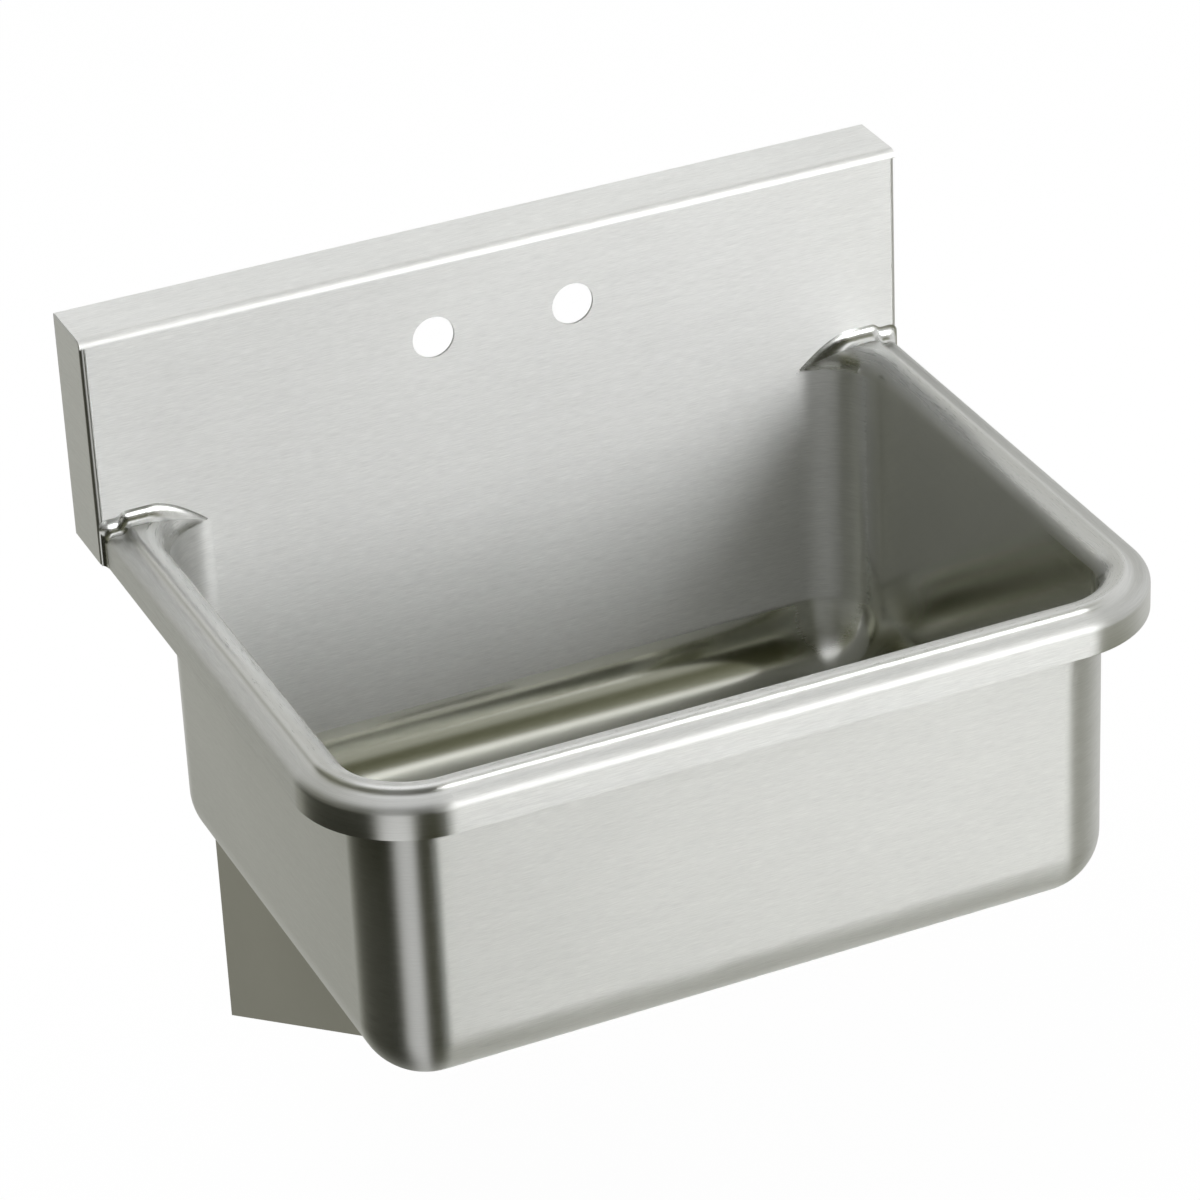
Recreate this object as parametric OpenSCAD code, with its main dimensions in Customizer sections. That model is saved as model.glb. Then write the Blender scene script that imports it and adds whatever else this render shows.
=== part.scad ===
// Wall-mounted hand sink in brushed stainless steel, hung on a wall rail and propped by two brackets.
// X runs to the right, Y into the wall and Z up. The wall is the plane Y = 0.
// The origin is on the wall, at the middle of the rail that the backsplash hooks over.

/* [Sheet metal] */
// Thickness of the sheet of the bowl, rim and backsplash
sheet = 1.9; // [1.2:0.1:2.5]
// Thickness of the sheet of the brackets and the wall rail
bracket_sheet = 2.5; // [2:0.1:3.5]

/* [Bowl] */
// Width of the bowl over its side walls
bowl_w = 522; // [450:1:600]
// How far the bowl's front wall stands out from the backsplash's face
bowl_reach = 381; // [350:1:450]
// Height of the bowl from its underside to the crest of the rim
bowl_h = 239; // [160:1:300]
// Outside radius of the bowl's upright corners
corner_r = 45; // [36:1:60]
// Outside radius of the cove between the bowl's walls and its floor
floor_r = 43; // [25:1:50]

/* [Rim] */
// Radius of the roll from the bowl's wall up to the crest
roll_r = 14.7; // [8:0.1:20]
// Radius of each of the two curves of the ogee
ogee_r = 5; // [3:0.1:7]
// Angle that each curve of the ogee turns through
ogee_turn = 60; // [30:1:75]
// Width of the flat shoulder outside the ogee
shoulder_w = 3.5; // [1:0.1:12]
// Outside radius of the bend from the shoulder to the skirt
shoulder_r = 6; // [3:0.1:9]
// Height of the rim from the skirt's lower edge to the crest
skirt_h = 28; // [25:0.5:50]

/* [Backsplash] */
// Height of the backsplash above the crest of the rim
splash_h = 137; // [110:1:250]
// How far the backsplash's face stands out from the wall
return_d = 51; // [40:1:80]
// How far the end caps stand out past the rim's skirt
splash_margin = 3; // [1:0.5:10]
// Outside radius of the bend along the face's upper edge
top_bend_r = 5.5; // [3.5:0.1:8]
// Outside radius of the bend along the rear upper edge
rear_bend_r = 3; // [2.6:0.1:5]
// Outside radius of the end caps' upright front edges
end_bend_r = 3.5; // [2.6:0.1:6]
// Height of the lip that hooks behind the wall rail
lip_h = 23.7; // [18:0.1:35]
// Radius of the cove that joins the rim to the backsplash
cove_r = 8.5; // [5:0.1:11]
// How far the cove reaches forward along the skirt
cove_end = 6; // [3:0.1:9]

/* [Faucet holes] */
// Distance between the centres of the two faucet holes
faucet_spacing = 101.6; // [90:0.1:205]
// Diameter of each faucet hole
faucet_d = 30; // [22:0.5:38]
// How far the faucet holes' centres lie below the backsplash's top
faucet_drop = 57; // [35:1:80]

/* [Wall rail] */
// Length of the wall rail
rail_w = 460; // [430:1:500]
// Height of the rail's leg that lies on the wall
rail_leg_h = 26; // [22:1:40]
// Height of the rail's raised tongue above the shelf that carries the lip
rail_tongue_h = 17; // [10:1:18]
// Distance between the rail's two screws
rail_screw_spacing = 406.4; // [200:0.1:410]
// Clearance all round the lip where it hooks behind the tongue
hook_gap = 0.3; // [0.2:0.05:0.6]

/* [Brackets] */
// How far each bracket's outer face lies inside the bowl's side wall
bracket_inset = 42; // [42:1:60]
// How far each bracket reaches out from the wall under the bowl
bracket_reach = 351; // [300:1:380]
// How far each bracket reaches down the wall below the bowl
bracket_drop = 202; // [150:1:260]
// Height of each bracket's blunt front end
bracket_nose = 10; // [6:1:20]
// Width of each bracket's wall and top flanges
flange_w = 38; // [32:1:50]
// Outside radius of each bracket's bends
bracket_bend_r = 4; // [3.6:0.1:6]
// How far the first wall screw lies below the bowl's underside
bracket_screw_drop = 45; // [35:1:60]
// Distance between the two wall screws of a bracket
bracket_screw_spacing = 110; // [60:1:115]
// Distance from the wall to the rear stud of each bracket
stud_rear = 140; // [120:1:160]
// Distance between the two studs of a bracket
stud_spacing = 140; // [100:1:150]

/* [Fasteners] */
// Outside diameter of the wall screws' thread
screw_d = 6; // [5:0.1:8]
// How much narrower a wall screw's plain shank is than its thread
shank_step = 0.8; // [0.4:0.1:1.5]
// Length of a wall screw under its head
screw_l = 40; // [25:1:60]
// Width of a wall screw's hexagon head across its corners
screw_head_d = 12; // [11:0.1:16]
// Height of a wall screw's head
screw_head_h = 4.5; // [3:0.1:6]
// Diameter of the studs under the bowl
stud_d = 8; // [6:0.1:10]
// Length of each stud
stud_l = 16; // [14:0.5:25]
// Width of each stud's nut across its corners
nut_d = 15; // [14:0.1:18]
// Height of each stud's nut
nut_h = 6.5; // [4:0.1:8]
// Thickness of the washers
washer_t = 1.6; // [1:0.1:2.5]
// How much wider a washer is than the screw's head or nut on it
washer_margin = 5; // [3:0.1:7]
// How much wider a screw or stud hole is than what passes through it
hole_clearance = 0.8; // [0.4:0.1:1.5]

/* [Drain] */
// Diameter of the drain opening in the bowl's floor
drain_d = 89; // [80:0.5:95]
// Radius of the shallow dish round the drain
dish_r = 125; // [90:1:130]
// How far the dish falls from the floor to the drain's seat
dish_drop = 5; // [2:0.1:12]
// Depth of the step that takes the strainer's flange
seat_step = 2.5; // [1.8:0.1:5]
// Diameter of the strainer's flange
flange_d = 114; // [110:0.5:125]
// Thickness of the strainer's flange
flange_t = 1.6; // [1:0.1:2.5]
// Gap round the strainer's cup in the drain opening
drain_gap = 1; // [0.4:0.1:1.5]
// Wall thickness of the strainer's cup
cup_wall = 1.8; // [1.2:0.1:3]
// Depth of the strainer's cup below its seat
cup_h = 48; // [42:1:60]
// Outside diameter of the strainer's threaded outlet
outlet_d = 47.6; // [40:0.1:50]
// Wall thickness of the outlet
outlet_wall = 2.4; // [1.5:0.1:3]
// Length of the outlet below the cup
outlet_l = 22; // [15:1:30]
// Thickness of the rubber gasket under the floor
gasket_t = 3; // [2:0.1:5]
// Thickness of the friction washer under the gasket
friction_t = 0.8; // [0.5:0.1:1.5]
// Height of the strainer's locknut
locknut_h = 12; // [8:1:18]
// Width of the locknut's ring
locknut_wall = 6; // [4:0.5:9]
// How far the locknut's lugs stand out
lug_h = 4; // [2:0.5:6]
// Number of lugs on the locknut
lug_count = 6; // [4:1:10]

/* [Basket] */
// Wall thickness of the lift-out basket
basket_wall = 1; // [0.8:0.1:1.5]
// Gap between the basket's lip and the strainer's cup
basket_gap = 0.6; // [0.3:0.1:0.9]
// How far the basket's lip lies below the strainer's seat
basket_drop = 6; // [3:0.5:12]
// How much the basket narrows in radius from its lip to its bottom
basket_taper = 6; // [3:0.5:9]
// Diameter of the basket's drain holes
basket_hole_d = 5; // [3:0.1:5.5]
// Number of holes in the outer ring of the basket's bottom
basket_hole_count = 14; // [8:1:16]
// Thickness of the rubber stopper under the basket
stopper_t = 6; // [4:0.5:8]
// How far the stopper overlaps the edge of the outlet
stopper_lap = 4; // [2:0.5:6]
// Gap between the stopper and its seat at rest
stopper_gap = 0.3; // [0.2:0.05:0.5]
// Diameter of the basket's centre post
post_d = 6; // [4:0.5:8]
// Diameter of the post's knob
knob_d = 18; // [14:0.5:24]
// Height of the knob
knob_h = 8; // [5:0.5:10]

/* [Hidden] */
$fn = 64;
eps = 0.01;
reach = 2000;
arc_steps = 8;

// Heights: the lip rests just above the rail's shelf, and all else hangs from the backsplash's top
shelf_z = 3;
lip_z = shelf_z + hook_gap;
top_z = lip_z + lip_h;
crest_z = top_z - splash_h;
wall_top_z = crest_z - roll_r;
skirt_z = crest_z - skirt_h;
under_z = crest_z - bowl_h;
floor_z = under_z + sheet;
faucet_z = top_z - faucet_drop;

// Depths: the bowl's rear wall carries on the backsplash's face
face_y = -return_d;
bowl_rear_y = face_y + sheet;
bowl_front_y = face_y - bowl_reach;
bowl_d = bowl_rear_y - bowl_front_y;
drain_y = (bowl_rear_y + bowl_front_y) / 2;
rear_axis_y = bowl_rear_y - corner_r;
front_axis_y = bowl_front_y + corner_r;
corner_axis_x = bowl_w / 2 - corner_r;
floor_edge_r = min(floor_r, corner_r - sheet);

// Rim: distances outwards from the bowl's outer wall, heights from the crest
crest_u = roll_r - sheet;
ogee_u = crest_u + 2 * ogee_r * sin(ogee_turn);
ogee_drop = 2 * ogee_r * (1 - cos(ogee_turn));
shoulder_u = ogee_u + shoulder_w;
overhang = shoulder_u + shoulder_r;
splash_w = bowl_w + 2 * (overhang + splash_margin);
rear_corner_r = corner_r - sheet;
cove_gap = 0.12;

// Rail
rail_clear = sheet + hook_gap;
rail_screw_z = shelf_z - bracket_sheet - (rail_leg_h - bracket_sheet) / 2;

// Brackets
bracket_x = bowl_w / 2 - bracket_inset;
flange_mid_x = bracket_x - (flange_w + bracket_sheet) / 2;
stud_x = flange_mid_x;
flange_start_y = -(return_d - sheet + floor_edge_r);
screw_hole_d = screw_d + hole_clearance;
stud_hole_d = stud_d + hole_clearance;

// Wall screws: the plain shank ends just inside the wall, where the thread starts
wall_bite = 1;
shank_l = washer_t + bracket_sheet + wall_bite;

// Drain
seat_z = floor_z - dish_drop - seat_step;
drain_r = drain_d / 2;
seat_r = flange_d / 2 + 1.5;
cup_r = drain_r - drain_gap;
cup_in_r = cup_r - cup_wall;
cup_floor_z = seat_z - cup_h;
outlet_r = outlet_d / 2;
outlet_in_r = outlet_r - outlet_wall;
outlet_z = cup_floor_z - cup_wall - outlet_l;
thread_gap = 0.2;
nut_gap = 0.05;
gasket_z = seat_z - sheet - gasket_t;
friction_z = gasket_z - friction_t;
locknut_z = friction_z - nut_gap - locknut_h;
basket_top_z = seat_z - basket_drop;
basket_top_r = cup_in_r - basket_gap;
basket_low_r = basket_top_r - basket_taper;
stopper_z = cup_floor_z + stopper_gap;
basket_low_z = stopper_z + stopper_t;
post_r = post_d / 2;
post_gap = 0.1;
knob_z = seat_z + flange_t;

// Points on an arc about c, without its first point
function arc(c, r, from, to, n) = [
    for (i = [1:n])
        let (a = from + (to - from) * i / n)
        c + r * [cos(a), sin(a)]
];

function reversed(list) = [for (i = [len(list) - 1:-1:0]) list[i]];

// The rim's visible line, moved inwards by o: first the roll, then the ogee, shoulder and skirt
function roll_line(o) = concat(
    [[crest_u - roll_r + o, -roll_r]],
    arc([crest_u, -roll_r], roll_r - o, 180, 90, arc_steps)
);
function ogee_line(o) = concat(
    arc([crest_u, -ogee_r], ogee_r - o, 90, 90 - ogee_turn, 5),
    arc([ogee_u, ogee_r - ogee_drop], ogee_r + o, 270 - ogee_turn, 270, 5),
    [[shoulder_u, -ogee_drop - o]],
    arc([shoulder_u, -ogee_drop - shoulder_r], shoulder_r - o, 90, 0, 6),
    [[overhang - o, -skirt_h]]
);

module roll_profile() {
    polygon(concat(roll_line(0), reversed(roll_line(sheet))));
}

module ogee_profile() {
    crest = [[crest_u, 0]];
    crest_inside = [[crest_u, -sheet]];
    polygon(concat(crest, ogee_line(0), reversed(ogee_line(sheet)), crest_inside));
}

module rim_profile() {
    outside = concat(roll_line(0), ogee_line(0));
    inside = concat(roll_line(sheet), ogee_line(sheet));
    polygon(concat(outside, reversed(inside)));
}

// A profile drawn outwards and upwards, run along Y from one depth to another
module run_y(x, from_y, to_y, z) {
    translate([x, to_y, z])
        rotate([90, 0, 0])
            linear_extrude(to_y - from_y)
                children();
}

// A rectangle from the origin with its own radius at each corner, from lower left round to upper left
module round_rect(w, h, r) {
    centres = [[r[0], r[0]], [w - r[1], r[1]], [w - r[2], h - r[2]], [r[3], h - r[3]]];
    polygon([
        [r[0], 0], [w - r[1], 0], [w, r[1]], [w, h - r[2]],
        [w - r[2], h], [r[3], h], [0, h - r[3]], [0, r[0]]
    ]);
    for (i = [0:3])
        if (r[i] > 0)
            translate(centres[i]) circle(r[i]);
}

// Half of a tub's upright section: straight above, with a cove of radius b below
module wall_section(r, b, z0, z1) {
    translate([0, z0 + b]) square([r, z1 - z0 - b]);
    translate([0, z0]) square([r - b, b]);
    intersection() {
        translate([r - b, z0 + b]) circle(b);
        translate([0, z0]) square([r, b]);
    }
}

// A solid tub with upright corners of radius r and a cove of radius b round its floor
module tub(w, d, r, b, z0, z1) {
    for (turn = [0, 90, 180, 270]) {
        right = turn == 0 || turn == 270;
        rear = turn == 0 || turn == 90;
        translate([(right ? 1 : -1) * (w / 2 - r), (rear ? 1 : -1) * (d / 2 - r), 0])
            rotate([0, 0, turn])
                rotate_extrude(angle = 90) wall_section(r, b, z0, z1);
    }
    for (turn = [0, 180])
        rotate([0, 0, turn])
            translate([w / 2 - r, 0, 0])
                run_y(0, -(d / 2 - r), d / 2 - r, 0) wall_section(r, b, z0, z1);
    for (turn = [90, 270])
        rotate([0, 0, turn])
            translate([d / 2 - r, 0, 0])
                run_y(0, -(w / 2 - r), w / 2 - r, 0) wall_section(r, b, z0, z1);
    translate([-(w / 2 - r), -(d / 2 - r), z0])
        cube([w - 2 * r, d - 2 * r, z1 - z0]);
}

// The floor round the drain: a shallow cone that falls to a stepped seat
module drain_dish() {
    rotate_extrude()
        polygon([
            [dish_r, under_z], [dish_r, floor_z],
            [seat_r + sheet, floor_z - dish_drop], [seat_r, seat_z], [drain_r, seat_z],
            [drain_r, seat_z - sheet], [seat_r + sheet, seat_z - sheet],
            [seat_r + 2 * sheet, under_z - dish_drop]
        ]);
}

module bowl() {
    color("silver")
        translate([0, drain_y, 0]) {
            difference() {
                tub(bowl_w, bowl_d, corner_r, floor_edge_r, under_z, wall_top_z);
                tub(bowl_w - 2 * sheet, bowl_d - 2 * sheet, corner_r - sheet,
                    floor_edge_r - sheet, floor_z, wall_top_z + 1);
                translate([0, 0, under_z - 1])
                    cylinder(r = dish_r, h = sheet + 2);
            }
            drain_dish();
        }
}

// One side of the rim: the full profile beside the bowl, and behind that the roll turned round the
// bowl's rear corner, with the crest widened between it and the ogee
module rim_side() {
    run_y(bowl_w / 2, front_axis_y, rear_axis_y, crest_z) rim_profile();
    run_y(bowl_w / 2, rear_axis_y, face_y, crest_z) ogee_profile();
    translate([corner_axis_x, front_axis_y, crest_z])
        rotate([0, 0, -90])
            rotate_extrude(angle = 90) translate([corner_r, 0]) rim_profile();
    translate([corner_axis_x, rear_axis_y, crest_z]) {
        intersection() {
            rotate_extrude(angle = 90) translate([corner_r, 0]) roll_profile();
            translate([0, 0, -reach / 2]) cube([reach, rear_corner_r, reach]);
        }
        translate([0, 0, -sheet])
            linear_extrude(sheet)
                difference() {
                    square([corner_r + crest_u, rear_corner_r]);
                    circle(corner_r + crest_u);
                }
    }
}

module rim() {
    color("gainsboro") {
        rim_side();
        mirror([1, 0, 0]) rim_side();
        translate([0, bowl_front_y, crest_z])
            rotate([0, 0, -90])
                run_y(0, -corner_axis_x, corner_axis_x, 0) rim_profile();
    }
}

function unit(v) = v / norm(v);

// A point just above the roll round the rear corner: turn about the corner's axis, climb up the roll
function roll_point(turn, climb) =
    let (
        r = roll_r + cove_gap,
        rho = rear_corner_r + roll_r - r * cos(climb)
    )
    [
        corner_axis_x + rho * cos(turn),
        rear_axis_y + rho * sin(turn),
        wall_top_z + r * sin(climb)
    ];

// A point just above the widened crest and the roll below its edge
function crest_point(x, y) =
    let (
        inside = rear_corner_r + roll_r - norm([x - corner_axis_x, y - rear_axis_y]),
        r = roll_r + cove_gap
    )
    [x, y, wall_top_z + (inside > 0 ? sqrt(r * r - inside * inside) : r)];

// A cove's section: a curve from its upper edge to its front edge, then back under it to the corner
function cove_section(upper, corner, front, under, slope) = concat(
    [
        for (i = [0:6])
            let (s = i / 6, hold = 0.55)
            pow(1 - s, 3) * upper
                + 3 * pow(1 - s, 2) * s * (upper + hold * (corner - upper))
                + 3 * (1 - s) * s * s * (front + hold * slope)
                + pow(s, 3) * front
    ],
    under,
    [corner]
);

// The section at one climb of the roll, where a cove of a constant radius narrows to nothing
function roll_cove(climb) =
    let (
        turn = asin(rear_corner_r / (rear_corner_r + roll_r * (1 - cos(climb)))),
        rho = rear_corner_r / sin(turn),
        normal = [-cos(climb) * cos(turn), -cos(climb) * sin(turn), sin(climb)],
        bend = acos(cos(climb) * sin(turn)),
        leg = cove_r * tan(bend / 2),
        forward = ([0, -1, 0] - cos(bend) * normal) / sin(bend),
        along_roll = [sin(climb) * cos(turn), sin(climb) * sin(turn), cos(climb)],
        round_corner = [-sin(turn), cos(turn), 0],
        d_climb = leg * (forward * along_roll) / roll_r * 180 / PI,
        d_turn = leg * (forward * round_corner) / rho * 180 / PI,
        path = [for (s = [1, 0.9, 0.75, 0.5, 0.25, 0]) roll_point(turn + s * d_turn, climb + s * d_climb)],
        corner = [path[5].x, face_y, path[5].z]
    )
    cove_section(corner + leg * unit([normal.x, 0, normal.z]), corner, path[0],
        [path[2], path[3], path[4]], leg * unit(path[1] - path[0]));

// The section across the widened crest at one X
function crest_cove(x) =
    let (
        path = [for (s = [1, 0.9, 0.75, 0.5, 0.25, 0]) crest_point(x, face_y - s * cove_r)]
    )
    cove_section(path[5] + [0, 0, cove_r], path[5], path[0],
        [path[2], path[3], path[4]], cove_r * unit(path[1] - path[0]));

// The section at one point of the rim's line, where part is 0 at the crest and 1 at the skirt
function ogee_cove(point, part, rise) =
    let (
        corner = [bowl_w / 2 + point.x, face_y, crest_z + point.y],
        reach_y = cove_r + (cove_end - cove_r) * part,
        out = (splash_margin - cove_gap) * part
    )
    cove_section(corner + [out, 0, rise], corner, corner - [0, reach_y, 0],
        [for (s = [0.75, 0.5, 0.25]) corner - [0, s * reach_y, 0]], [0, reach_y, 0]);

// Cove sections joined into a solid. In each, points 0 to 6 are the curve, 7 to 9 lie under it and
// 10 is the corner, so cap is how the triangles of an end fill it.
module cove_loft(sections) {
    cap = [
        [10, 0, 1], [10, 1, 2], [10, 2, 3], [10, 3, 9], [9, 3, 4],
        [9, 4, 8], [8, 4, 5], [8, 5, 7], [7, 5, 6]
    ];
    n = 11;
    m = len(sections);
    sides = [
        for (i = [0:m - 2]) for (j = [0:n - 1])
            let (a = i * n + j, b = i * n + (j + 1) % n)
            each [[a, b, b + n], [a, b + n, a + n]]
    ];
    first = [for (t = cap) reversed(t)];
    last = [for (t = cap) [for (k = t) k + (m - 1) * n]];
    polyhedron([for (s = sections) each s], concat(first, sides, last));
}

module cove_weld() {
    crest_steps = 8;
    line = ogee_line(-cove_gap);
    steps = len(line) - 1;
    roll_end_x = roll_cove(90)[0].x;
    ogee_x = bowl_w / 2 + crest_u;
    round_corner = [for (climb = [7.5:7.5:90]) roll_cove(climb)];
    over_crest = [
        for (i = [1:crest_steps])
            crest_cove(roll_end_x + (ogee_x - roll_end_x) * i / crest_steps)
    ];
    over_ogee = [
        for (i = [0:steps - 1])
            let (part = (i + 1) / steps)
            ogee_cove(line[i], part, cove_r * (1 + 0.3 * part))
    ];
    down_skirt = [ogee_cove(line[steps], 1, 0)];
    cove_loft(concat(round_corner, over_crest, over_ogee, down_skirt));
}

module cove_welds() {
    color("lightgray") {
        cove_weld();
        mirror([1, 0, 0]) cove_weld();
    }
}

// Plan of the backsplash, moved inwards by o
module splash_plan(o) {
    r = end_bend_r - o;
    translate([-splash_w / 2 + o, face_y + o])
        round_rect(splash_w - 2 * o, return_d - o, [r, r, 0, 0]);
}

// Upright section of the backsplash's outside, moved inwards by o: X is the depth, Y the height
module splash_section(o) {
    translate([face_y + o, skirt_z])
        round_rect(return_d - 2 * o, top_z - o - skirt_z, [0, 0, rear_bend_r - o, top_bend_r - o]);
}

// A section drawn as depth and height, run from one side to the other
module run_x(from_x, to_x) {
    translate([from_x, 0, 0])
        rotate([90, 0, 90])
            linear_extrude(to_x - from_x)
                children();
}

// Everything below the bend along the backsplash's upper edge
module below_bend(from_x, to_x) {
    run_x(from_x, to_x)
        translate([-reach / 2, top_z - top_bend_r - reach])
            square([reach, reach]);
}

module backsplash() {
    notch_x = corner_axis_x + sqrt(pow(corner_r, 2) - pow(rear_corner_r, 2)) + 0.5;
    seam_x = splash_w / 2 - end_bend_r;
    color("silver")
        difference() {
            intersection() {
                run_x(-splash_w / 2, splash_w / 2)
                    difference() {
                        splash_section(0);
                        splash_section(sheet);
                        translate([face_y + sheet, skirt_z - eps])
                            square([return_d, lip_z - skirt_z + eps]);
                    }
                translate([0, 0, skirt_z - 1])
                    linear_extrude(top_z - skirt_z + 2) splash_plan(0);
            }
            for (side = [0, 1])
                mirror([side, 0, 0])
                    below_bend(seam_x, splash_w / 2 + 1);
            run_x(-notch_x, notch_x)
                translate([face_y - 1, skirt_z - 1])
                    square([sheet + 2, wall_top_z - skirt_z + 1]);
            for (side = [-1, 1])
                translate([side * faucet_spacing / 2, face_y - 1, faucet_z])
                    rotate([-90, 0, 0])
                        cylinder(d = faucet_d, h = sheet + 2);
        }
}

// The right end cap: a plate whose front edge turns into the face, tucked under the top
module end_cap() {
    seam_x = splash_w / 2 - end_bend_r;
    intersection() {
        translate([0, 0, skirt_z])
            linear_extrude(top_z - skirt_z)
                difference() {
                    splash_plan(0);
                    splash_plan(sheet);
                    translate([-reach + seam_x, -reach / 2]) square([reach, reach]);
                }
        union() {
            run_x(seam_x - 1, splash_w / 2 + 1) splash_section(sheet);
            below_bend(seam_x - 1, splash_w / 2 + 1);
        }
        run_x(seam_x - 1, splash_w / 2 + 1)
            difference() {
                splash_section(0);
                translate([-sheet, lip_z]) square([sheet + 1, reach]);
            }
    }
}

module end_cap_left() {
    color("lightgray") mirror([1, 0, 0]) end_cap();
}

module end_cap_right() {
    color("lightgray") end_cap();
}

module wall_rail() {
    t = bracket_sheet;
    color("darkgray")
        difference() {
            run_x(-rail_w / 2, rail_w / 2)
                union() {
                    translate([-t, shelf_z - rail_leg_h]) square([t, rail_leg_h]);
                    translate([-t - rail_clear, shelf_z - t]) square([t + rail_clear, t]);
                    translate([-t - rail_clear, shelf_z - t]) square([t, t + rail_tongue_h]);
                }
            for (side = [-1, 1])
                translate([side * rail_screw_spacing / 2, -t - 1, rail_screw_z])
                    rotate([-90, 0, 0])
                        cylinder(d = screw_hole_d, h = t + 2);
        }
}

// A wall screw from the outer face of its washer at the origin, pointing along +Y
module wall_screw() {
    tip = screw_d;
    rotate([-90, 0, 0]) {
        translate([0, 0, -screw_head_h]) cylinder(d = screw_head_d, h = screw_head_h, $fn = 6);
        cylinder(d = screw_d - shank_step, h = shank_l);
        translate([0, 0, shank_l]) cylinder(d = screw_d, h = screw_l - tip - shank_l);
        translate([0, 0, screw_l - tip]) cylinder(d1 = screw_d, d2 = 1, h = tip);
    }
}

// A flat washer that lies on the origin and stands up along +Z
module washer(inner_d, outer_d) {
    difference() {
        cylinder(d = outer_d, h = washer_t);
        translate([0, 0, -1]) cylinder(d = inner_d, h = washer_t + 2);
    }
}

module at_rail_screws() {
    for (side = [-1, 1])
        translate([side * rail_screw_spacing / 2, -bracket_sheet, rail_screw_z])
            children();
}

module rail_screws() {
    color("gray")
        at_rail_screws()
            translate([0, -washer_t, 0]) wall_screw();
}

module rail_washers() {
    color("lightgray")
        at_rail_screws()
            rotate([90, 0, 0]) washer(screw_d + hole_clearance, screw_head_d + washer_margin);
}

// The right bracket: a gusset with one flange on the wall and one under the bowl
module bracket() {
    t = bracket_sheet;
    r = bracket_bend_r;
    low_z = under_z - bracket_drop;
    difference() {
        intersection() {
            union() {
                translate([bracket_x - flange_w, 0, low_z])
                    linear_extrude(bracket_drop)
                        mirror([0, 1])
                            difference() {
                                round_rect(flange_w, bracket_reach, [0, r, 0, 0]);
                                translate([-t - 1, t])
                                    round_rect(flange_w + 1, bracket_reach, [0, r - t, 0, 0]);
                            }
                run_y(bracket_x - flange_w, -bracket_reach, flange_start_y, under_z - bracket_drop)
                    difference() {
                        round_rect(flange_w, bracket_drop, [0, 0, r, 0]);
                        translate([-t - 1, -1])
                            round_rect(flange_w + 1, bracket_drop - t + 1, [0, 0, r - t, 0]);
                    }
            }
            run_x(bracket_x - flange_w - 1, bracket_x + 1)
                polygon([
                    [0, under_z], [0, low_z], [-t, low_z],
                    [-bracket_reach, under_z - bracket_nose], [-bracket_reach, under_z]
                ]);
        }
        for (i = [0, 1]) {
            translate([flange_mid_x, -t - 1, under_z - bracket_screw_drop - i * bracket_screw_spacing])
                rotate([-90, 0, 0])
                    cylinder(d = screw_hole_d, h = t + 2);
            translate([stud_x, -stud_rear - i * stud_spacing, under_z - t - 1])
                cylinder(d = stud_hole_d, h = t + 2);
        }
    }
}

module bracket_left() {
    color("darkgray") mirror([1, 0, 0]) bracket();
}

module bracket_right() {
    color("darkgray") bracket();
}

module at_bracket_screws() {
    for (side = [-1, 1])
        for (i = [0, 1])
            translate([
                side * flange_mid_x, -bracket_sheet,
                under_z - bracket_screw_drop - i * bracket_screw_spacing
            ])
                children();
}

module bracket_screws() {
    color("gray")
        at_bracket_screws()
            translate([0, -washer_t, 0]) wall_screw();
}

module bracket_wall_washers() {
    color("lightgray")
        at_bracket_screws()
            rotate([90, 0, 0]) washer(screw_d + hole_clearance, screw_head_d + washer_margin);
}

module at_studs() {
    for (side = [-1, 1])
        for (i = [0, 1])
            translate([side * stud_x, -stud_rear - i * stud_spacing, under_z])
                children();
}

module bowl_studs() {
    color("gray")
        at_studs()
            translate([0, 0, -stud_l]) cylinder(d = stud_d, h = stud_l);
}

module stud_washers() {
    color("lightgray")
        at_studs()
            translate([0, 0, -bracket_sheet - washer_t])
                washer(stud_d + hole_clearance, nut_d + washer_margin);
}

module stud_nuts() {
    color("gray")
        at_studs()
            translate([0, 0, -bracket_sheet - washer_t - nut_h])
                difference() {
                    cylinder(d = nut_d, h = nut_h, $fn = 6);
                    translate([0, 0, -1]) cylinder(d = stud_d + thread_gap, h = nut_h + 2);
                }
}

module on_drain_axis() {
    translate([0, drain_y, 0]) children();
}

// A flat ring round the drain's axis
module ring(inner_r, outer_r, z, h) {
    on_drain_axis()
        translate([0, 0, z])
            difference() {
                cylinder(r = outer_r, h = h);
                translate([0, 0, -1]) cylinder(r = inner_r, h = h + 2);
            }
}

module strainer_body() {
    cup_corner = 4;
    bar_w = 3;
    bar_h = 3;
    bar_z = outlet_z + outlet_l / 2;
    color("lightgray")
        on_drain_axis() {
            rotate_extrude()
                polygon([
                    [flange_d / 2, seat_z], [flange_d / 2, seat_z + flange_t / 2],
                    [flange_d / 2 - flange_t, seat_z + flange_t],
                    [cup_in_r + flange_t, seat_z + flange_t], [cup_in_r, seat_z],
                    [cup_in_r, cup_floor_z + cup_corner], [cup_in_r - cup_corner, cup_floor_z],
                    [outlet_in_r, cup_floor_z], [outlet_in_r, outlet_z], [outlet_r, outlet_z],
                    [outlet_r, cup_floor_z - cup_wall],
                    [cup_r - cup_corner, cup_floor_z - cup_wall],
                    [cup_r, cup_floor_z + cup_corner - cup_wall], [cup_r, seat_z]
                ]);
            for (turn = [0, 90])
                translate([0, 0, bar_z])
                    rotate([0, 0, turn])
                        translate([-outlet_in_r - 1, -bar_w / 2, 0])
                            cube([2 * outlet_in_r + 2, bar_w, bar_h]);
        }
}

module strainer_gasket() {
    color("dimgray") ring(cup_r + thread_gap, seat_r, gasket_z, gasket_t);
}

module friction_washer() {
    color("burlywood") ring(cup_r + thread_gap, seat_r, friction_z, friction_t);
}

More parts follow.
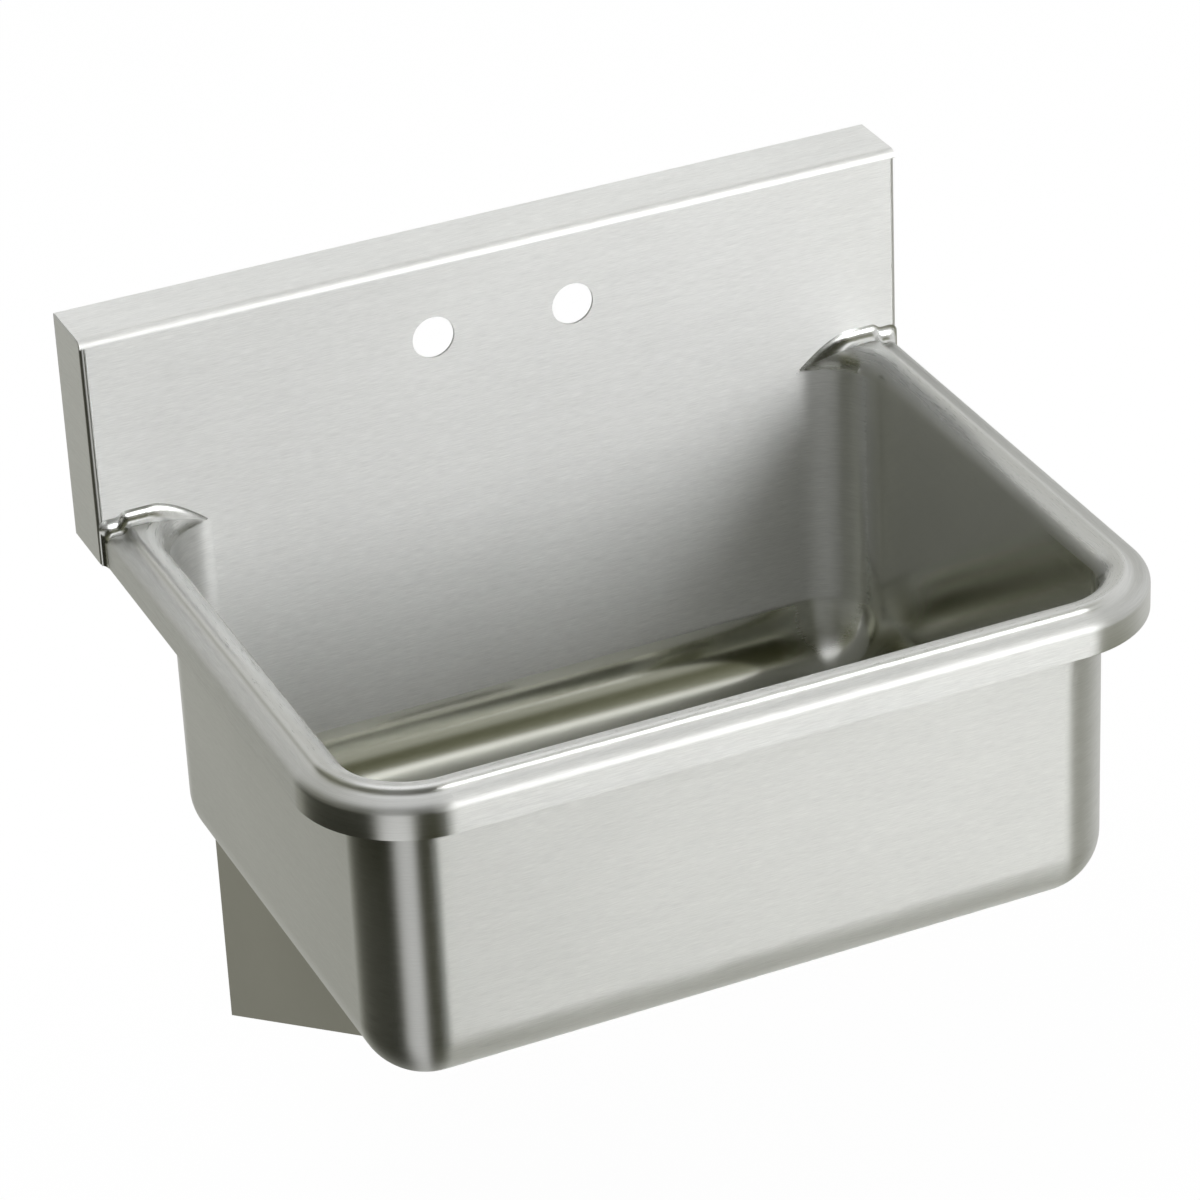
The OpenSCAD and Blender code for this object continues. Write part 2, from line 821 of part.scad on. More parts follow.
module strainer_locknut() {
    ring_r = cup_r + thread_gap + locknut_wall;
    lug_w = 10;
    color("darkgray")
        on_drain_axis()
            difference() {
                union() {
                    translate([0, 0, locknut_z]) cylinder(r = ring_r, h = locknut_h);
                    for (i = [0:lug_count - 1])
                        rotate([0, 0, i * 360 / lug_count])
                            translate([ring_r - 1, -lug_w / 2, locknut_z])
                                cube([lug_h + 1, lug_w, locknut_h]);
                }
                translate([0, 0, locknut_z - 1])
                    cylinder(r = cup_r + thread_gap, h = locknut_h + 2);
            }
}

module strainer_basket() {
    w = basket_wall;
    wall_mid_r = (basket_top_r + basket_low_r) / 2;
    wall_mid_z = (basket_top_z + basket_low_z) / 2;
    ring_r = basket_low_r - basket_hole_d;
    inner_ring_r = ring_r / 2;
    color("whitesmoke")
        on_drain_axis()
            difference() {
                rotate_extrude()
                    polygon([
                        [post_r + post_gap, basket_low_z], [basket_low_r, basket_low_z],
                        [basket_top_r - w, basket_top_z - w], [basket_top_r, basket_top_z - w],
                        [basket_top_r, basket_top_z], [basket_top_r - 2 * w, basket_top_z],
                        [basket_low_r - w, basket_low_z + w], [post_r + post_gap, basket_low_z + w]
                    ]);
                for (i = [0:basket_hole_count - 1])
                    rotate([0, 0, i * 360 / basket_hole_count]) {
                        translate([ring_r, 0, basket_low_z - 1])
                            cylinder(d = basket_hole_d, h = w + 2);
                        translate([wall_mid_r, 0, wall_mid_z])
                            rotate([0, 90, 0])
                                cylinder(d = basket_hole_d, h = basket_taper + 4 * w, center = true);
                    }
                for (i = [0:basket_hole_count / 2 - 1])
                    rotate([0, 0, i * 720 / basket_hole_count])
                        translate([inner_ring_r, 0, basket_low_z - 1])
                            cylinder(d = basket_hole_d, h = w + 2);
            }
}

module basket_post() {
    rivet_h = 1.5;
    dome_r = knob_d / 2;
    neck_z = knob_z - knob_h;
    color("silver")
        on_drain_axis() {
            translate([0, 0, stopper_z]) cylinder(r = post_r, h = neck_z - stopper_z + 1);
            translate([0, 0, stopper_z - rivet_h]) cylinder(r = post_r + 2, h = rivet_h);
            translate([0, 0, neck_z])
                intersection() {
                    cylinder(r = dome_r, h = knob_h);
                    translate([0, 0, -dome_r]) sphere(r = dome_r + knob_h);
                }
        }
}

module basket_stopper() {
    color("dimgray")
        ring(post_r + post_gap, outlet_in_r + stopper_lap, stopper_z, stopper_t);
}

bowl();
rim();
cove_welds();
backsplash();
end_cap_left();
end_cap_right();
wall_rail();
rail_screws();
rail_washers();
bracket_left();
bracket_right();
bracket_screws();
bracket_wall_washers();
bowl_studs();
stud_washers();
stud_nuts();
strainer_body();
strainer_gasket();
friction_washer();
strainer_locknut();
strainer_basket();
basket_post();
basket_stopper();
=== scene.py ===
"""Finish of a wall-mounted hand sink in brushed stainless steel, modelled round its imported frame.

All sizes are in metres, in the frame's own axes: X runs to the right, Y into the wall and Z up.
"""

import math

import bmesh
import bpy
from bpy.props import FloatProperty, FloatVectorProperty, IntProperty, PointerProperty
from mathutils import Matrix, Vector


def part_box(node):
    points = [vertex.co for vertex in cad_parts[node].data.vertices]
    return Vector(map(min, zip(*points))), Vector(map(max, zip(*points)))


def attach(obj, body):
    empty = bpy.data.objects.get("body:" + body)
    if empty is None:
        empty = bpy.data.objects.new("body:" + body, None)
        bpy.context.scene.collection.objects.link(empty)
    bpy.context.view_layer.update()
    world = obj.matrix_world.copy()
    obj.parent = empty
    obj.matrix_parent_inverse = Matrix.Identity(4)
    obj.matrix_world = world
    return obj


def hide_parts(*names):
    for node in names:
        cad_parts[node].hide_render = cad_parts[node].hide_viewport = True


bl_info = {
    "name": "Wall-mounted hand sink",
    "version": (1, 0, 0),
    "blender": (4, 5, 0),
    "location": "3D View > Sidebar > Sink",
    "description": "Models and finishes each piece of a brushed steel hand sink round its frame",
    "category": "Object",
}

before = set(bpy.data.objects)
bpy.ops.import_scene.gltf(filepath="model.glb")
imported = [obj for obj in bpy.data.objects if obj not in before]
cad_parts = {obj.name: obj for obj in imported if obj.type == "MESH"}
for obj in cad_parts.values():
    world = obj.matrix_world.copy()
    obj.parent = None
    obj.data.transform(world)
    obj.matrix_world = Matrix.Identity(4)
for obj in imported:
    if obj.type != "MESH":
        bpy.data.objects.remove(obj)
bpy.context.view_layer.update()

BOWL_LOW, BOWL_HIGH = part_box("bowl")
RIM_LOW, RIM_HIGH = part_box("rim")
SPLASH_LOW, SPLASH_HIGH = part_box("backsplash")
BRACKET_LOW, BRACKET_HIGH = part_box("bracket_right")
GASKET_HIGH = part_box("strainer_gasket")[1]

MM = 0.001

# How far apart two places may be and still count as the same, and two vertices as one
SAME_PLACE = 1e-5
ONE_VERTEX = 1e-6

# Angles between faces, in degrees: of a flat, of a smooth surface and of a sharp edge
FLAT = 0.3
SMOOTH = 35
SHARP = 50

# The coves' angles, in degrees: of an edge that stays sharp, and the most that a joined pair of
# triangles may be bent and skewed
COVE_SHARP = 32
COVE_JOIN_BEND = 40
COVE_JOIN_SHAPE = 180


class SinkSizes(bpy.types.PropertyGroup):
    """Sizes of the sheet metal that the frame's boxes don't give"""

    sheet: FloatProperty(
        name="Sheet", description="Thickness of the bowl's, rim's and backsplash's sheet",
        default=1.9 * MM, min=1.2 * MM, max=2.5 * MM, precision=4, unit="LENGTH")
    corner_r: FloatProperty(
        name="Corner radius", description="Outside radius of the bowl's upright corners",
        default=45 * MM, precision=4, unit="LENGTH")
    floor_r: FloatProperty(
        name="Floor radius", description="Outside radius of the cove round the bowl's floor",
        default=43 * MM, precision=4, unit="LENGTH")
    ogee_r: FloatProperty(
        name="Ogee radius", description="Radius of each of the two curves of the ogee",
        default=5 * MM, precision=4, unit="LENGTH")
    ogee_turn: FloatProperty(
        name="Ogee turn", description="Angle that each curve of the ogee turns through",
        default=math.radians(60), subtype="ANGLE")
    shoulder_r: FloatProperty(
        name="Shoulder radius", description="Outside radius of the bend from the shoulder to the skirt",
        default=6 * MM, precision=4, unit="LENGTH")
    dish_r: FloatProperty(
        name="Dish radius", description="Radius of the shallow dish round the drain",
        default=125 * MM, precision=4, unit="LENGTH")
    dish_drop: FloatProperty(
        name="Dish drop", description="How far the dish falls to the drain's seat",
        default=5 * MM, precision=4, unit="LENGTH")
    drain_d: FloatProperty(
        name="Drain opening", description="Diameter of the drain opening in the bowl's floor",
        default=89 * MM, precision=4, unit="LENGTH")
    top_bend_r: FloatProperty(
        name="Top bend", description="Outside radius of the bend along the backsplash's upper edge",
        default=5.5 * MM, precision=4, unit="LENGTH")
    rear_bend_r: FloatProperty(
        name="Rear bend", description="Outside radius of the bend along the return's rear edge",
        default=3 * MM, precision=4, unit="LENGTH")
    end_bend_r: FloatProperty(
        name="End bend", description="Outside radius of the end caps' upright front edges",
        default=3.5 * MM, precision=4, unit="LENGTH")
    lip_h: FloatProperty(
        name="Lip height", description="Height of the lip that hooks behind the wall rail",
        default=23.7 * MM, precision=4, unit="LENGTH")
    faucet_spacing: FloatProperty(
        name="Faucet spacing", description="Distance between the centres of the two faucet holes",
        default=101.6 * MM, precision=4, unit="LENGTH")
    faucet_d: FloatProperty(
        name="Faucet hole", description="Diameter of each faucet hole",
        default=30 * MM, precision=4, unit="LENGTH")
    faucet_drop: FloatProperty(
        name="Faucet drop", description="How far the faucet holes lie below the backsplash's top",
        default=57 * MM, precision=4, unit="LENGTH")
    edge_r: FloatProperty(
        name="Edge rounding", description="Rounding of the sheet's cut edges",
        default=0.35 * MM, precision=5, unit="LENGTH")
    segments: IntProperty(
        name="Segments", description="Flats in a quarter turn of the large curves",
        default=24, min=8, max=48)


class SinkFinish(bpy.types.PropertyGroup):
    """Colours of the metals, rubber and fibre, and the brushed grain"""

    steel: FloatVectorProperty(
        name="Steel", description="Colour of the brushed sheet",
        default=(0.755, 0.76, 0.752), size=3, subtype="COLOR")
    # Darker and more olive than the steel: partly the polished sheet's own colour, partly painted shade on
    # the bowl's inside walls and the roll's inside
    buffed_and_shaded: FloatVectorProperty(
        name="Buffed steel", description="Colour of the sheet where it is polished",
        default=(0.63, 0.635, 0.575), size=3, subtype="COLOR")
    plain: FloatVectorProperty(
        name="Plain sheet", description="Colour of the brackets' and rail's mill finish",
        default=(0.52, 0.515, 0.46), size=3, subtype="COLOR")
    zinc: FloatVectorProperty(
        name="Zinc", description="Colour of the screws, studs, nuts and washers",
        default=(0.62, 0.62, 0.60), size=3, subtype="COLOR")
    polished: FloatVectorProperty(
        name="Polished steel", description="Colour of the strainer and basket",
        default=(0.76, 0.76, 0.75), size=3, subtype="COLOR")
    cast: FloatVectorProperty(
        name="Cast nut", description="Colour of the die-cast locknut",
        default=(0.42, 0.43, 0.44), size=3, subtype="COLOR")
    rubber: FloatVectorProperty(
        name="Rubber", description="Colour of the gasket and stopper",
        default=(0.025, 0.025, 0.026), size=3, subtype="COLOR")
    fibre: FloatVectorProperty(
        name="Fibre", description="Colour of the friction washer",
        default=(0.45, 0.31, 0.17), size=3, subtype="COLOR")
    grain_width: FloatProperty(
        name="Grain width", description="Width of one brush line",
        default=0.6 * MM, precision=5, unit="LENGTH")
    grain_length: FloatProperty(
        name="Grain length", description="Length of one brush line",
        default=11 * MM, precision=4, unit="LENGTH")
    grain_depth: FloatProperty(
        name="Grain depth", description="Depth of one brush line",
        default=0.02 * MM, precision=5, unit="LENGTH")


class SinkStudio(bpy.types.PropertyGroup):
    """Levels of the studio"""

    lamp_power: FloatProperty(
        name="Lamp power", description="Power of the main lamp in watts", default=30.0, min=0)
    world_fill: FloatProperty(
        name="World fill", description="Strength of the world for diffuse light", default=1.0, min=0)
    key_level: FloatProperty(
        name="Key light", description="How bright the metal sees the softbox in front", default=8.2, min=0)
    top_level: FloatProperty(
        name="Top light", description="How bright the metal sees the softbox overhead", default=1.22, min=0)
    floor_drop: FloatProperty(
        name="Floor drop", description="How far the floor lies below the brackets' feet",
        default=0.25, unit="LENGTH")
    shadow: FloatProperty(
        name="Shadow", description="Share of the floor's own shading that the camera sees",
        default=0.08, min=0, max=1, subtype="FACTOR")


def sizes():
    return bpy.context.scene.sink_sizes


def finish():
    return bpy.context.scene.sink_finish


def studio():
    return bpy.context.scene.sink_studio


# Selection and editing


def deselect():
    """Leaves object mode with nothing selected"""
    if bpy.context.object and bpy.context.object.mode != "OBJECT":
        bpy.ops.object.mode_set(mode="OBJECT")
    bpy.ops.object.select_all(action="DESELECT")


def pick(piece):
    """Makes a piece the active one and the only one selected"""
    deselect()
    bpy.context.view_layer.objects.active = piece
    piece.select_set(True)


def begin_edit(piece):
    """Opens a piece's mesh with nothing selected"""
    pick(piece)
    bpy.ops.object.mode_set(mode="EDIT")
    bpy.ops.mesh.select_all(action="DESELECT")


def end_edit():
    bpy.ops.object.mode_set(mode="OBJECT")


def select(kind, test):
    """Selects the vertices, edges or faces of the open mesh that pass a test, and counts them"""
    mesh = bpy.context.object.data
    bpy.ops.mesh.select_mode(type={"verts": "VERT", "edges": "EDGE", "faces": "FACE"}[kind])
    bpy.ops.mesh.select_all(action="DESELECT")
    shape = bmesh.from_edit_mesh(mesh)
    chosen = [item for item in getattr(shape, kind) if test(item)]
    for item in chosen:
        item.select_set(True)
    if kind == "verts":
        shape.select_flush(True)
    bmesh.update_edit_mesh(mesh)
    return len(chosen)


def near(a, b, gap=SAME_PLACE):
    return abs(a - b) < gap


def lies(axis, value):
    """A test that all of an edge's or face's vertices lie at one place on an axis"""
    return lambda item: all(near(v.co[axis], value) for v in item.verts)


def dot(name, point):
    """Starts a piece as a single selected vertex in edit mode"""
    deselect()
    bpy.ops.mesh.primitive_plane_add(size=MM)
    piece = bpy.context.object
    piece.name = name
    piece.data.name = name
    bpy.ops.object.mode_set(mode="EDIT")
    bpy.ops.mesh.select_mode(type="VERT")
    bpy.ops.mesh.select_all(action="SELECT")
    bpy.ops.mesh.merge(type="CENTER")
    bpy.ops.transform.translate(value=point)
    return piece


def extrude(step):
    """Extrudes what is selected by a step"""
    bpy.ops.mesh.extrude_region_move(TRANSFORM_OT_translate={"value": step})


def spin(centre, axis, turn, steps):
    """Turns what is selected about an axis by the right-hand rule, leaving a surface or a line behind"""
    bpy.ops.mesh.spin(steps=steps, angle=-turn, center=centre, axis=axis)


def bisect(point, normal, **settings):
    """Cuts what is selected by a plane, with the operator's own settings"""
    bpy.ops.mesh.bisect(plane_co=point, plane_no=normal, **settings)


def face_up(piece, direction, wanted):
    """Merges doubles and makes normals agree, so that the faces that pass a test look in a direction"""
    bpy.ops.mesh.select_mode(type="FACE")
    bpy.ops.mesh.select_all(action="SELECT")
    bpy.ops.mesh.remove_doubles(threshold=ONE_VERTEX)
    bpy.ops.mesh.normals_make_consistent(inside=False)
    shape = bmesh.from_edit_mesh(piece.data)
    score = sum(f.normal.dot(direction) * f.calc_area() for f in shape.faces if wanted(f))
    if score < 0:
        bpy.ops.mesh.flip_normals()


def modify(piece, kind, **settings):
    """Adds a modifier with its settings and applies it"""
    pick(piece)
    modifier = piece.modifiers.new(kind.lower(), kind)
    for key, value in settings.items():
        setattr(modifier, key, value)
    bpy.ops.object.modifier_apply(modifier=modifier.name)


def solidify(piece):
    """Gives a surface the sheet's thickness, on the side that its faces turn away from"""
    modify(piece, "SOLIDIFY", thickness=sizes().sheet, offset=-1, use_even_offset=True)


def cut(piece, add_cutter):
    """Subtracts a new primitive from a piece"""
    deselect()
    add_cutter()
    cutter = bpy.context.object
    modify(piece, "BOOLEAN", operation="DIFFERENCE", solver="EXACT", object=cutter)
    bpy.data.objects.remove(cutter)


def cut_box(piece, centre, size):
    cut(piece, lambda: bpy.ops.mesh.primitive_cube_add(size=1, location=centre, scale=size))


def round_edges(piece, width, test=lambda edge: True):
    """Rounds the sharp edges that pass a test"""
    begin_edit(piece)
    sharp = math.radians(SHARP)
    found = select("edges", lambda e: len(e.link_faces) == 2
                   and e.calc_face_angle() > sharp and test(e))
    if found:
        bpy.ops.mesh.bevel(offset=width, segments=2, affect="EDGES", clamp_overlap=True)
    end_edit()


def smooth(piece, angle=SMOOTH):
    """Smooth shading up to an angle, with the large flats kept flat"""
    pick(piece)
    bpy.ops.object.shade_smooth_by_angle(angle=math.radians(angle))
    modify(piece, "WEIGHTED_NORMAL", weight=50, keep_sharp=True)


def merged_copy(node, name, dissolve=True):
    """A copy of a node of the frame with its loose triangles joined and, if asked, its flats made whole"""
    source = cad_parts[node]
    piece = bpy.data.objects.new(name, source.data.copy())
    piece.data.name = name
    bpy.context.scene.collection.objects.link(piece)
    begin_edit(piece)
    bpy.ops.mesh.select_all(action="SELECT")
    bpy.ops.mesh.customdata_custom_splitnormals_clear()
    bpy.ops.mesh.remove_doubles(threshold=ONE_VERTEX)
    if dissolve:
        bpy.ops.mesh.dissolve_limited(angle_limit=math.radians(FLAT))
    end_edit()
    return piece


def settle(piece, body, nodes, slot):
    """Gives a finished piece its body, its slot, that slot's material and the nodes that it stands for"""
    if slot not in MATERIALS:
        make_materials()
    piece.data.materials.clear()
    piece.data.materials.append(MATERIALS[slot])
    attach(piece, body)
    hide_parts(*nodes)


def finished_copy(node, name, body, slot, rounding=0):
    """A merged and smooth copy of a node in its slot's material, its sharp edges rounded if asked"""
    piece = merged_copy(node, name)
    if rounding:
        round_edges(piece, rounding)
    smooth(piece)
    settle(piece, body, [node], slot)
    return piece


# The path that the brush took over each piece, and how polished it is, from 0 to 1; where the polish passes
# CREST_POLISH the sheet also takes the darker buffed colour, which is painted shade

# The backsplash's face and the bowl's rear wall have none, and brushed sheet scatters some of its
# light where it has less than SCATTER_END
SCATTER_END = 0.15
OUTSIDE_POLISH = 0.37
CREST_POLISH = 0.62
SHOULDER_POLISH = 0.18
SKIRT_POLISH = 0.6
BEND_POLISH = 0.25
CORNER_POLISH = 0.45
FLOOR_POLISH = 0.06

# Where the rear floor corners' duller finish begins and is full, in corner radii from the bowl's side
CORNER_BEGINS = 1.6
CORNER_FULL = 0.75


def brush(piece, follow, polish=lambda vertex: 0.0):
    """Stores where each point lies along and across the brush's path, the path's direction and the polish"""
    mesh = piece.data
    mesh.attributes.new("brush_path", "FLOAT_VECTOR", "CORNER")
    mesh.attributes.new("brush_along", "FLOAT_VECTOR", "CORNER")
    mesh.attributes.new("brush_polish", "FLOAT", "POINT")
    path = mesh.attributes["brush_path"].data
    along = mesh.attributes["brush_along"].data
    polished = mesh.attributes["brush_polish"].data
    for i, vertex in enumerate(mesh.vertices):
        polished[i].value = polish(vertex)
    for face in mesh.polygons:
        for i in face.loop_indices:
            place, direction = follow(mesh.vertices[mesh.loops[i].vertex_index].co, face)
            path[i].vector = place
            along[i].vector = direction


def smooth_step(value, low, high):
    """Rises from 0 at low to 1 at high with no kink"""
    share = min(1.0, max(0.0, (value - low) / (high - low)))
    return share * share * (3 - 2 * share)


def out_from_wall(point):
    """How far a point lies outwards from the bowl's outer wall"""
    s = sizes()
    beside = max(0.0, abs(point.x) - BOWL_HIGH.x + s.corner_r)
    ahead = max(0.0, BOWL_LOW.y + s.corner_r - point.y, point.y - BOWL_HIGH.y + s.corner_r)
    return math.hypot(beside, ahead) - s.corner_r


def towards_rear(point):
    """Rises from 0, where the bowl's rear corners begin, to 1 at its rear wall"""
    s = sizes()
    return smooth_step(point.y, BOWL_HIGH.y - s.corner_r, BOWL_HIGH.y - s.sheet - MM)


def rim_polish(vertex):
    """The crest and the skirt round the corners are brushed finely, and the roll's inside is polished"""
    s = sizes()
    point = vertex.co
    roll_r = RIM_HIGH.z - BOWL_HIGH.z
    below = RIM_HIGH.z - point.z
    past_crest = out_from_wall(point) - roll_r + s.sheet
    if past_crest > 0:
        over_ogee = smooth_step(past_crest, s.ogee_r / 2, 2 * s.ogee_r)
        on_skirt = smooth_step(below, 1.5 * s.shoulder_r, 2 * s.shoulder_r)
        past_ends = min(abs(point.x) - BOWL_HIGH.x, BOWL_LOW.y - point.y) + s.corner_r
        on_corner = smooth_step(past_ends, 0, s.corner_r / 4)
        upper = CREST_POLISH + (SHOULDER_POLISH - CREST_POLISH) * over_ogee
        return upper + (SKIRT_POLISH - upper) * on_skirt * on_corner
    inside = smooth_step(below, MM, roll_r) * (1 - towards_rear(point))
    return CREST_POLISH + (1 - CREST_POLISH) * inside


def bend_polish(vertex):
    """The bend along the backsplash's upper edge is burnished"""
    s = sizes()
    ahead = s.top_bend_r - (vertex.co.y - SPLASH_LOW.y)
    above = s.top_bend_r - (SPLASH_HIGH.z - vertex.co.z)
    return BEND_POLISH if min(ahead, above) > MM / 10 else 0.0


def faces_in(place, normal):
    """Whether a place on the bowl is on its inside"""
    middle = Vector((0, (BOWL_LOW.y + BOWL_HIGH.y) / 2, (BOWL_LOW.z + BOWL_HIGH.z) / 2))
    return normal.dot(middle - place) > 0


def bowl_polish(vertex):
    """The inside is polished, less so in the rear floor corners, and hardly on the rear wall and floor"""
    s = sizes()
    point = vertex.co
    if not faces_in(point, vertex.normal):
        return OUTSIDE_POLISH
    floor_z = BRACKET_HIGH.z + s.sheet
    cove_z = BRACKET_HIGH.z + s.floor_r
    if point.z > cove_z - MM:
        return 1 - towards_rear(point)
    beside = smooth_step(
        abs(point.x), BOWL_HIGH.x - CORNER_BEGINS * s.corner_r, BOWL_HIGH.x - CORNER_FULL * s.corner_r)
    on_floor = 1 - smooth_step(point.z, floor_z, floor_z + MM / 2)
    in_corner = towards_rear(point) * beside * (1 - on_floor)
    return 1 - (1 - FLOOR_POLISH) * on_floor - (1 - CORNER_POLISH) * in_corner


def straight(axis):
    """A brush that ran straight along one axis"""
    direction = Vector((0, 0, 0))
    direction[axis] = 1

    def follow(point, face):
        others = [point[i] for i in range(3) if i != axis]
        return (point[axis], *others), direction
    return follow


def round_the_bowl(point, face):
    """A brush that ran round the bowl's walls and rim, and along X over the floor and the rear wall"""
    s = sizes()
    side = 1 if face.center.x > 0 else -1
    x = side * point.x
    axis_x = BOWL_HIGH.x - s.corner_r
    front_y = BOWL_LOW.y + s.corner_r
    rear_y = BOWL_HIGH.y - s.corner_r
    quarter = math.pi / 2 * s.corner_r
    if side * face.center.x <= axis_x:
        return (point.x, point.y, point.z), Vector((1, 0, 0))
    if face.center.y < front_y:
        turn = math.atan2(x - axis_x, front_y - point.y)
        rho = math.hypot(x - axis_x, front_y - point.y)
        path = axis_x + turn * s.corner_r
        return (side * path, rho, point.z), Vector((math.cos(turn), side * math.sin(turn), 0))
    rho = math.hypot(x - axis_x, point.y - rear_y)
    reach = math.hypot(side * face.center.x - axis_x, face.center.y - rear_y)
    # Only the roll and the crest turn round the rear corner: past them the rim runs straight to the wall
    crest_reach = RIM_HIGH.x - BOWL_HIGH.x + s.corner_r - s.ogee_r * 3
    if face.center.y > rear_y and reach < crest_reach:
        turn = math.atan2(point.y - rear_y, x - axis_x)
        path = axis_x + quarter + rear_y - front_y + turn * s.corner_r
        return (side * path, rho, point.z), Vector((-math.sin(turn), side * math.cos(turn), 0))
    path = axis_x + quarter + point.y - front_y
    return (side * path, x - axis_x, point.z), Vector((0, side, 0))


# Materials


# Each finish by its slot's name, and how far apart the nodes lie in the shader editor
MATERIALS = {}
NODE_GAP = 190

WHITE = (1, 1, 1, 1)

# Brushed sheet where it is polished: its roughness, the share of its streaks that is left, and its bump
POLISHED_ROUGHNESS = 0.13
POLISHED_STREAK = 0.3
POLISHED_BUMP = 0.05

# The bump elsewhere, and the shares by which grain and mottling change roughness and tone
BUMP = 0.3
GRAIN_ROUGHNESS = 0.12
MOTTLE_ROUGHNESS = 0.15
MOTTLE_TONE = 0.015
MOTTLE_SCALE = 9.0

# Broad bands among the brush lines: how many lines long and wide, and their share of the grain
BAND_LENGTH = 6
BAND_WIDTH = 7
BAND_SHARE = 0.2

# The part of its range that a noise's values mostly fill, and that a slow noise's values do
NOISE_LOW = 0.3
NOISE_HIGH = 0.7
SLOW_LOW = 0.35
SLOW_HIGH = 0.65

# The brush's direction is given as a tangent, a quarter turn from the way that its highlights stretch
ACROSS_BRUSH = 0.25


class Nodes:
    """A small helper that lays out a node tree from left to right"""

    def __init__(self, tree):
        self.tree = tree
        self.column = 0

    def add(self, kind, inputs=None, **settings):
        node = self.tree.nodes.new(kind)
        node.location = (self.column * NODE_GAP, 0)
        self.column += 1
        for key, value in settings.items():
            setattr(node, key, value)
        for key, value in (inputs or {}).items():
            if isinstance(value, bpy.types.NodeSocket):
                self.tree.links.new(value, node.inputs[key])
            else:
                node.inputs[key].default_value = value
        return node

    def maths(self, operation, a, b=0.0):
        return self.add("ShaderNodeMath", {0: a, 1: b}, operation=operation).outputs[0]

    def mapped(self, value, from_low, from_high, to_low, to_high, kind="LINEAR"):
        return self.add("ShaderNodeMapRange", {
            "Value": value, "From Min": from_low, "From Max": from_high,
            "To Min": to_low, "To Max": to_high}, interpolation_type=kind).outputs["Result"]

    def noise(self, vector, scale, detail=2.0, roughness=0.5):
        return self.add("ShaderNodeTexNoise", {
            "Vector": vector, "Scale": scale, "Detail": detail, "Roughness": roughness}).outputs["Fac"]


def new_material(name):
    """An empty node material, kept by its name"""
    surface = bpy.data.materials.new(name)
    surface.use_nodes = True
    surface.node_tree.nodes.clear()
    MATERIALS[name] = surface
    return surface, Nodes(surface.node_tree)


def mixed_colour(n, share, low, high, blend="MIX"):
    """A mix of two colours, each a socket or a plain colour"""
    mix = n.add("ShaderNodeMix", {"Factor": share}, data_type="RGBA", blend_type=blend)
    sockets = [s for s in mix.inputs if s.type == "RGBA"]
    for socket, value in zip(sockets, (low, high)):
        if isinstance(value, bpy.types.NodeSocket):
            n.tree.links.new(value, socket)
        else:
            socket.default_value = value
    return [s for s in mix.outputs if s.type == "RGBA"][0]


def shade(colour, amount=1):
    """A colour made lighter or darker by a share, and opaque"""
    return (*[c * amount for c in colour], 1.0)


def stretched(n, path, length, width):
    """The brush's path, measured in lines of a length and width"""
    return n.add("ShaderNodeMapping", {
        "Vector": path, "Scale": (1 / length, 1 / width, 1 / width)}).outputs["Vector"]


def brushed(name, colour, roughness, anisotropy, streak, scattered=0.0):
    """Brushed sheet: fine lines along the brush's path, in tone, roughness and height, and a darker, olive
    colour where it is polished most, partly painted shade
    """
    surface, n = new_material(name)
    f = finish()
    path = n.add("ShaderNodeAttribute", attribute_name="brush_path").outputs["Vector"]
    along = n.add("ShaderNodeAttribute", attribute_name="brush_along").outputs["Vector"]
    polish = n.add("ShaderNodeAttribute", attribute_name="brush_polish").outputs["Fac"]
    lines = stretched(n, path, f.grain_length, f.grain_width)
    fine = n.noise(lines, 1.0, detail=3.0, roughness=0.62)
    bands = n.noise(stretched(n, path, BAND_LENGTH * f.grain_length, BAND_WIDTH * f.grain_width), 1.0)
    grain = n.maths("ADD", n.maths("MULTIPLY", fine, 1 - BAND_SHARE),
                    n.maths("MULTIPLY", bands, BAND_SHARE))
    mottle = n.noise(n.add("ShaderNodeTexCoord").outputs["Object"], MOTTLE_SCALE)
    mottling = n.mapped(mottle, SLOW_LOW, SLOW_HIGH, 1 - MOTTLE_TONE, 1 + MOTTLE_TONE)
    contrast = n.mapped(polish, 0.0, 1.0, streak, streak * POLISHED_STREAK)
    streaks = n.maths("MULTIPLY", n.mapped(grain, NOISE_LOW, NOISE_HIGH, -1.0, 1.0), contrast)
    tone = n.maths("MULTIPLY", n.maths("ADD", 1.0, streaks), mottling)
    # Past the crest's polish the colour turns to the darker, olive buffed one: painted shade on the bowl's
    # inside walls and the roll's inside
    buffed_shade_share = n.mapped(polish, CREST_POLISH, 1.0, 0.0, 1.0)
    metal = mixed_colour(n, buffed_shade_share, shade(colour), shade(f.buffed_and_shaded))
    rough = n.maths("MULTIPLY", n.mapped(polish, 0.0, 1.0, roughness, POLISHED_ROUGHNESS),
                    n.mapped(grain, NOISE_LOW, NOISE_HIGH, 1 - GRAIN_ROUGHNESS, 1 + GRAIN_ROUGHNESS))
    bump = n.add("ShaderNodeBump", {
        "Strength": n.mapped(polish, 0.0, CREST_POLISH, BUMP, POLISHED_BUMP),
        "Distance": f.grain_depth, "Height": fine})
    shader = n.add("ShaderNodeBsdfPrincipled", {
        "Base Color": mixed_colour(n, 1.0, metal, tone, "MULTIPLY"), "Metallic": 1.0,
        "Roughness": rough, "Anisotropic": anisotropy, "Anisotropic Rotation": ACROSS_BRUSH,
        "Normal": bump.outputs[0], "Tangent": along})
    if scattered:
        metallic = n.mapped(polish, 0.0, SCATTER_END, 1 - scattered, 1.0)
        n.tree.links.new(metallic, shader.inputs["Metallic"])
    n.add("ShaderNodeOutputMaterial", {"Surface": shader.outputs[0]})
    return surface


